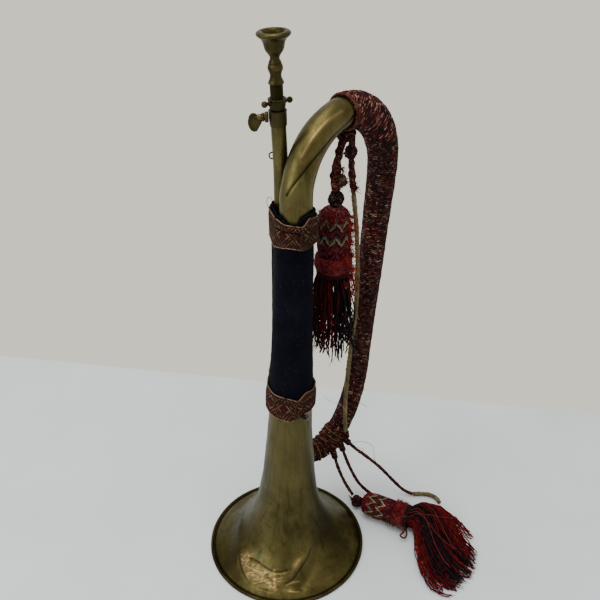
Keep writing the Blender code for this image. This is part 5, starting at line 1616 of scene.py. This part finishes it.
def make_knots(mottled):
    fray = [yarn_look("fray_yarn", ((0.03, 0.008, 0.007), (0.15, 0.085, 0.055), INK, (0.21, 0.095, 0.075))),
        yarn_look("fray_dark", ((0.012, 0.005, 0.005), (0.09, 0.012, 0.012), (0.05, 0.03, 0.02)))]
    rng = np.random.default_rng(129)
    bag = Bag()
    add_knot(bag, (0.08, 0.0006, 0.3895), 0.0042, 0.0011, 131, wraps=6)
    for k in range(22):
        turn = np.linspace(0.0, 2 * pi, 30)
        one, two = np.linalg.qr(rng.normal(size=(3, 2)))[0].T
        middle = np.array((0.0788, 0.0006, 0.3885)) + rng.normal(size=3) * (0.003, 0.0012, 0.0026)
        bag.tube(middle + rng.uniform(0.0022, 0.0038) * circle(turn, one, two), 0.00075, 6, slot=k % 2,
            caps=False, first=tuple(np.cross(one, two)))
    add_tuft(bag, (0.0805, 0.0002, 0.388), (0.7, -0.3, -0.6), 60, 0.0062, 0.00034, 0.6, 132, (0, 1))
    for k, (x, y, z) in enumerate(((0.069, -0.0026, 0.41), (0.066, -0.002, 0.4), (0.069, -0.0026, 0.395),
            (0.078, -0.0026, 0.414), (0.075, -0.002, 0.401), (0.074, -0.002, 0.418), (0.065, -0.002, 0.406),
            (0.069, -0.002, 0.386), (0.073, -0.002, 0.385))):
        add_tuft(bag, (x, y, z), (0.0, -0.6, -0.7), 26, 0.003, 0.0003, 0.9, 760 + k, (0, 1))
    bag.build("hanger_fray", fray, "cord_cover", ["hanger_fray_knot"], body="hanging_tassel")
    bag = Bag()
    add_knot(bag, (0.0914, 0.0, 0.4109), 0.006, 0.0014, 134, (0.95, 0.95, 1.14))
    neck = spline(((0.0885, -0.001, 0.4275), (0.09, -0.0016, 0.4225), (0.0912, -0.0006, 0.415)), 0.0006)
    bag.tube(neck, ragged(plait(0.003), 138, 0.18), 14)
    bag.build("core_ball", mottled, "cord_cover", ["core_knot"])
    bag = Bag()
    for k, (x, z, reach, lean) in enumerate(((0.077, 0.4286, 0.005, 0.4), (0.0802, 0.4276, 0.0056, 0.0),
            (0.0835, 0.4278, 0.0054, -0.2), (0.0868, 0.4286, 0.0048, 0.2), (0.09, 0.4292, 0.0042, -0.4))):
        turn = np.linspace(0.0, 2 * pi * 1.3, 60)
        loop = np.stack(
            [x + 0.0009 * lean * np.cos(turn) + 0.0006 * turn / 6.0, reach * np.cos(turn), z + 0.72 * reach
                * np.sin(turn)], 1)
        bag.tube(evenly(loop, 0.0006), rope(0.0013, 3, 2.6), 10, first=(1.0, 0.0, 0.0))
    add_knot(bag, (0.0825, 0.0, 0.427), 0.005, 0.0012, 136, (1.6, 0.9, 0.8), wraps=8)
    add_tuft(bag, (0.086, -0.003, 0.428), (0.5, -0.6, -0.6), 14, 0.0045, 0.00018, 0.8, 137)
    bag.build("hitch_turns", mottled, "cord_cover", ["cord_hitch"])


def make_cords(mottled):
    """Free cords: the hangers, the core and its sleeve, the loose cords and the tail, after the tassels."""
    knot, lying = make_tassels(mottled)
    braid = fleck_look("braid_cord", 2.1 * MM, 1.0 * MM, 42.0, COVER_STOPS, 0.0004)
    bare = yarn_look("bare_cord", ((0.055, 0.044, 0.02), (0.13, 0.105, 0.052), (0.21, 0.165, 0.09)))
    for side, knots, seed, pieces in (("left", HANGER_LEFT, 141, [knot]), ("right", HANGER_RIGHT, 142, ())):
        make_cord("hanger_strand_" + side, knots, ragged(plait(0.0025), seed, 0.3), braid,
            "hanger_" + side, "hanging_tassel")
    red_lock = Bag()
    add_tuft(red_lock, (0.0966, -0.0012, 0.3765), (0.1, -0.3, -1.0), 90, 0.0046, 0.0004, 0.6, 143)
    add_tuft(red_lock, (0.0968, 0.0, 0.3775), (0.6, -0.5, 0.0), 50, 0.0036, 0.00036, 0.8, 144)
    lock_look = yarn_look("core_fuzz_red", ((0.06, 0.004, 0.005), (0.2, 0.022, 0.02)))
    fuzz = red_lock.build("core_fuzz", lock_look, "tassel_red")
    make_cord("core_strand", CORE_ROUTE, ragged(rope(0.0024), 145, 0.1), bare, "core_cord",
        slot="cord_bare")
    # the core keeps its plaited sleeve down to the red tuft
    sleeve = Bag().tube(spline(CORE_ROUTE[:3], 0.0005), ragged(plait(0.003), 146, 0.18), 14)
    sleeve.build("core_sleeve", braid, "cord_cover")
    for letter, knots, seed, far_end, pieces in (("a", CORD_A, 147, "knot", [lying]),
            ("b", CORD_B, 148, "object", ()), ("c", CORD_C, 149, "knot", ())):
        make_cord("loose_cord_" + letter, knots, ragged(plait(0.0018), seed), braid, "lower_cord_"
            + letter)
    make_cord("tail_cord", TAIL, ragged(rope(0.0024), 150, 0.06), bare, "cord_tail",
        slot="cord_bare")


def make_loose_threads():
    """Single threads and hairs that have come away from the bindings."""
    bag = Bag()
    threads = (
        (0.00022, 0, ((0.096, -0.011, 0.076), (0.104, -0.019, 0.079), (0.113, -0.029, 0.072), (0.113, -0.033,
            0.056), (0.115, -0.035, 0.047))),
        (0.00018, 0, ((0.101, -0.015, 0.071), (0.1, -0.024, 0.074), (0.096, -0.029, 0.079), (0.09, -0.03,
            0.077))), (0.0002, 0, ((0.1, -0.008, 0.133), (0.107, -0.013, 0.129), (0.113, -0.018, 0.122))),
        (0.00018, 1, ((0.03, -0.023, 0.19), (0.035, -0.027, 0.183), (0.046, -0.031, 0.174), (0.054, -0.033,
            0.162))),
        (0.00022, 0, ((0.0045, 0.013, 0.379), (-0.001, 0.015, 0.386), (-0.0015, 0.015, 0.393),
            (0.0022, 0.014, 0.393), (0.0032, 0.0135, 0.386))),
        (0.00016, 2, ((0.129, 0.003, 0.34), (0.133, -0.001, 0.336), (0.135, -0.004, 0.342))),)
    for thick, slot, knots in threads:
        line = spline(knots, 0.001)
        line[:, 2] = np.maximum(line[:, 2], thick)
        bag.tube(line, thick, 5, slot=slot)
    bag.build("loose_threads", [yarn_look("hair_dark", (INK, MAROON)), yarn_look("hair_pale",
        (SAND, (0.5, 0.45, 0.38))), yarn_look("hair_red", RED_YARN)], "cord_cover")


def make_band_ends():
    """Both woven bands, their lapped ends and the dark knot with pale loops at the foot of the lower one."""
    grid, out, angles, look = make_band("upper_tape", UPPER_EDGES, "upper_band", 151)
    lap_piece("upper_tape_lap", grid, out, angles, look, radians(266.0), 17, 0.0004, range(1, 33), 0.001)
    grid, out, angles, look = make_band("lower_tape", LOWER_EDGES, "lower_band", 152)
    lap_piece("lower_tape_lap", grid, out, angles, look, radians(262.0), 17, 0.0008, range(1, 33), 0.001)
    column = int(np.argmin(np.abs(angles[0] - radians(252.0))))
    where = grid[0, column] + out[0, column] * 0.0012 + upward(-0.0012)
    bag = Bag()
    add_knot(bag, where, 0.0036, 0.0011, 153, (1.0, 1.0, 0.9), slot=0, wraps=6)
    add_tuft(bag, where + upward(0.002), (0.3, -0.9, 0.2), 18, 0.006, 0.00018, 0.8, 154, (1,))
    bag.build("lower_tape_knot", [yarn_look("knot_dark", (INK, (0.014, 0.006, 0.006))),
        yarn_look("knot_pale", (SAND, (0.4, 0.35, 0.28)))], "woven_band")


# ---------------------------------------------------------------- build
make_camera()
make_surroundings()
mottled_cord = fleck_look("mottled_cord", 2.4 * MM, 1.1 * MM, 30.0, KNOT_STOPS, 0.0005)
make_cords(mottled_cord)
make_knots(mottled_cord)
make_bell()
make_rim()
make_tubes()
make_receiver()
make_thumb_screw()
make_nut()
make_mouthpiece()
make_grip()
make_band_ends()
make_covers()
make_loose_threads()
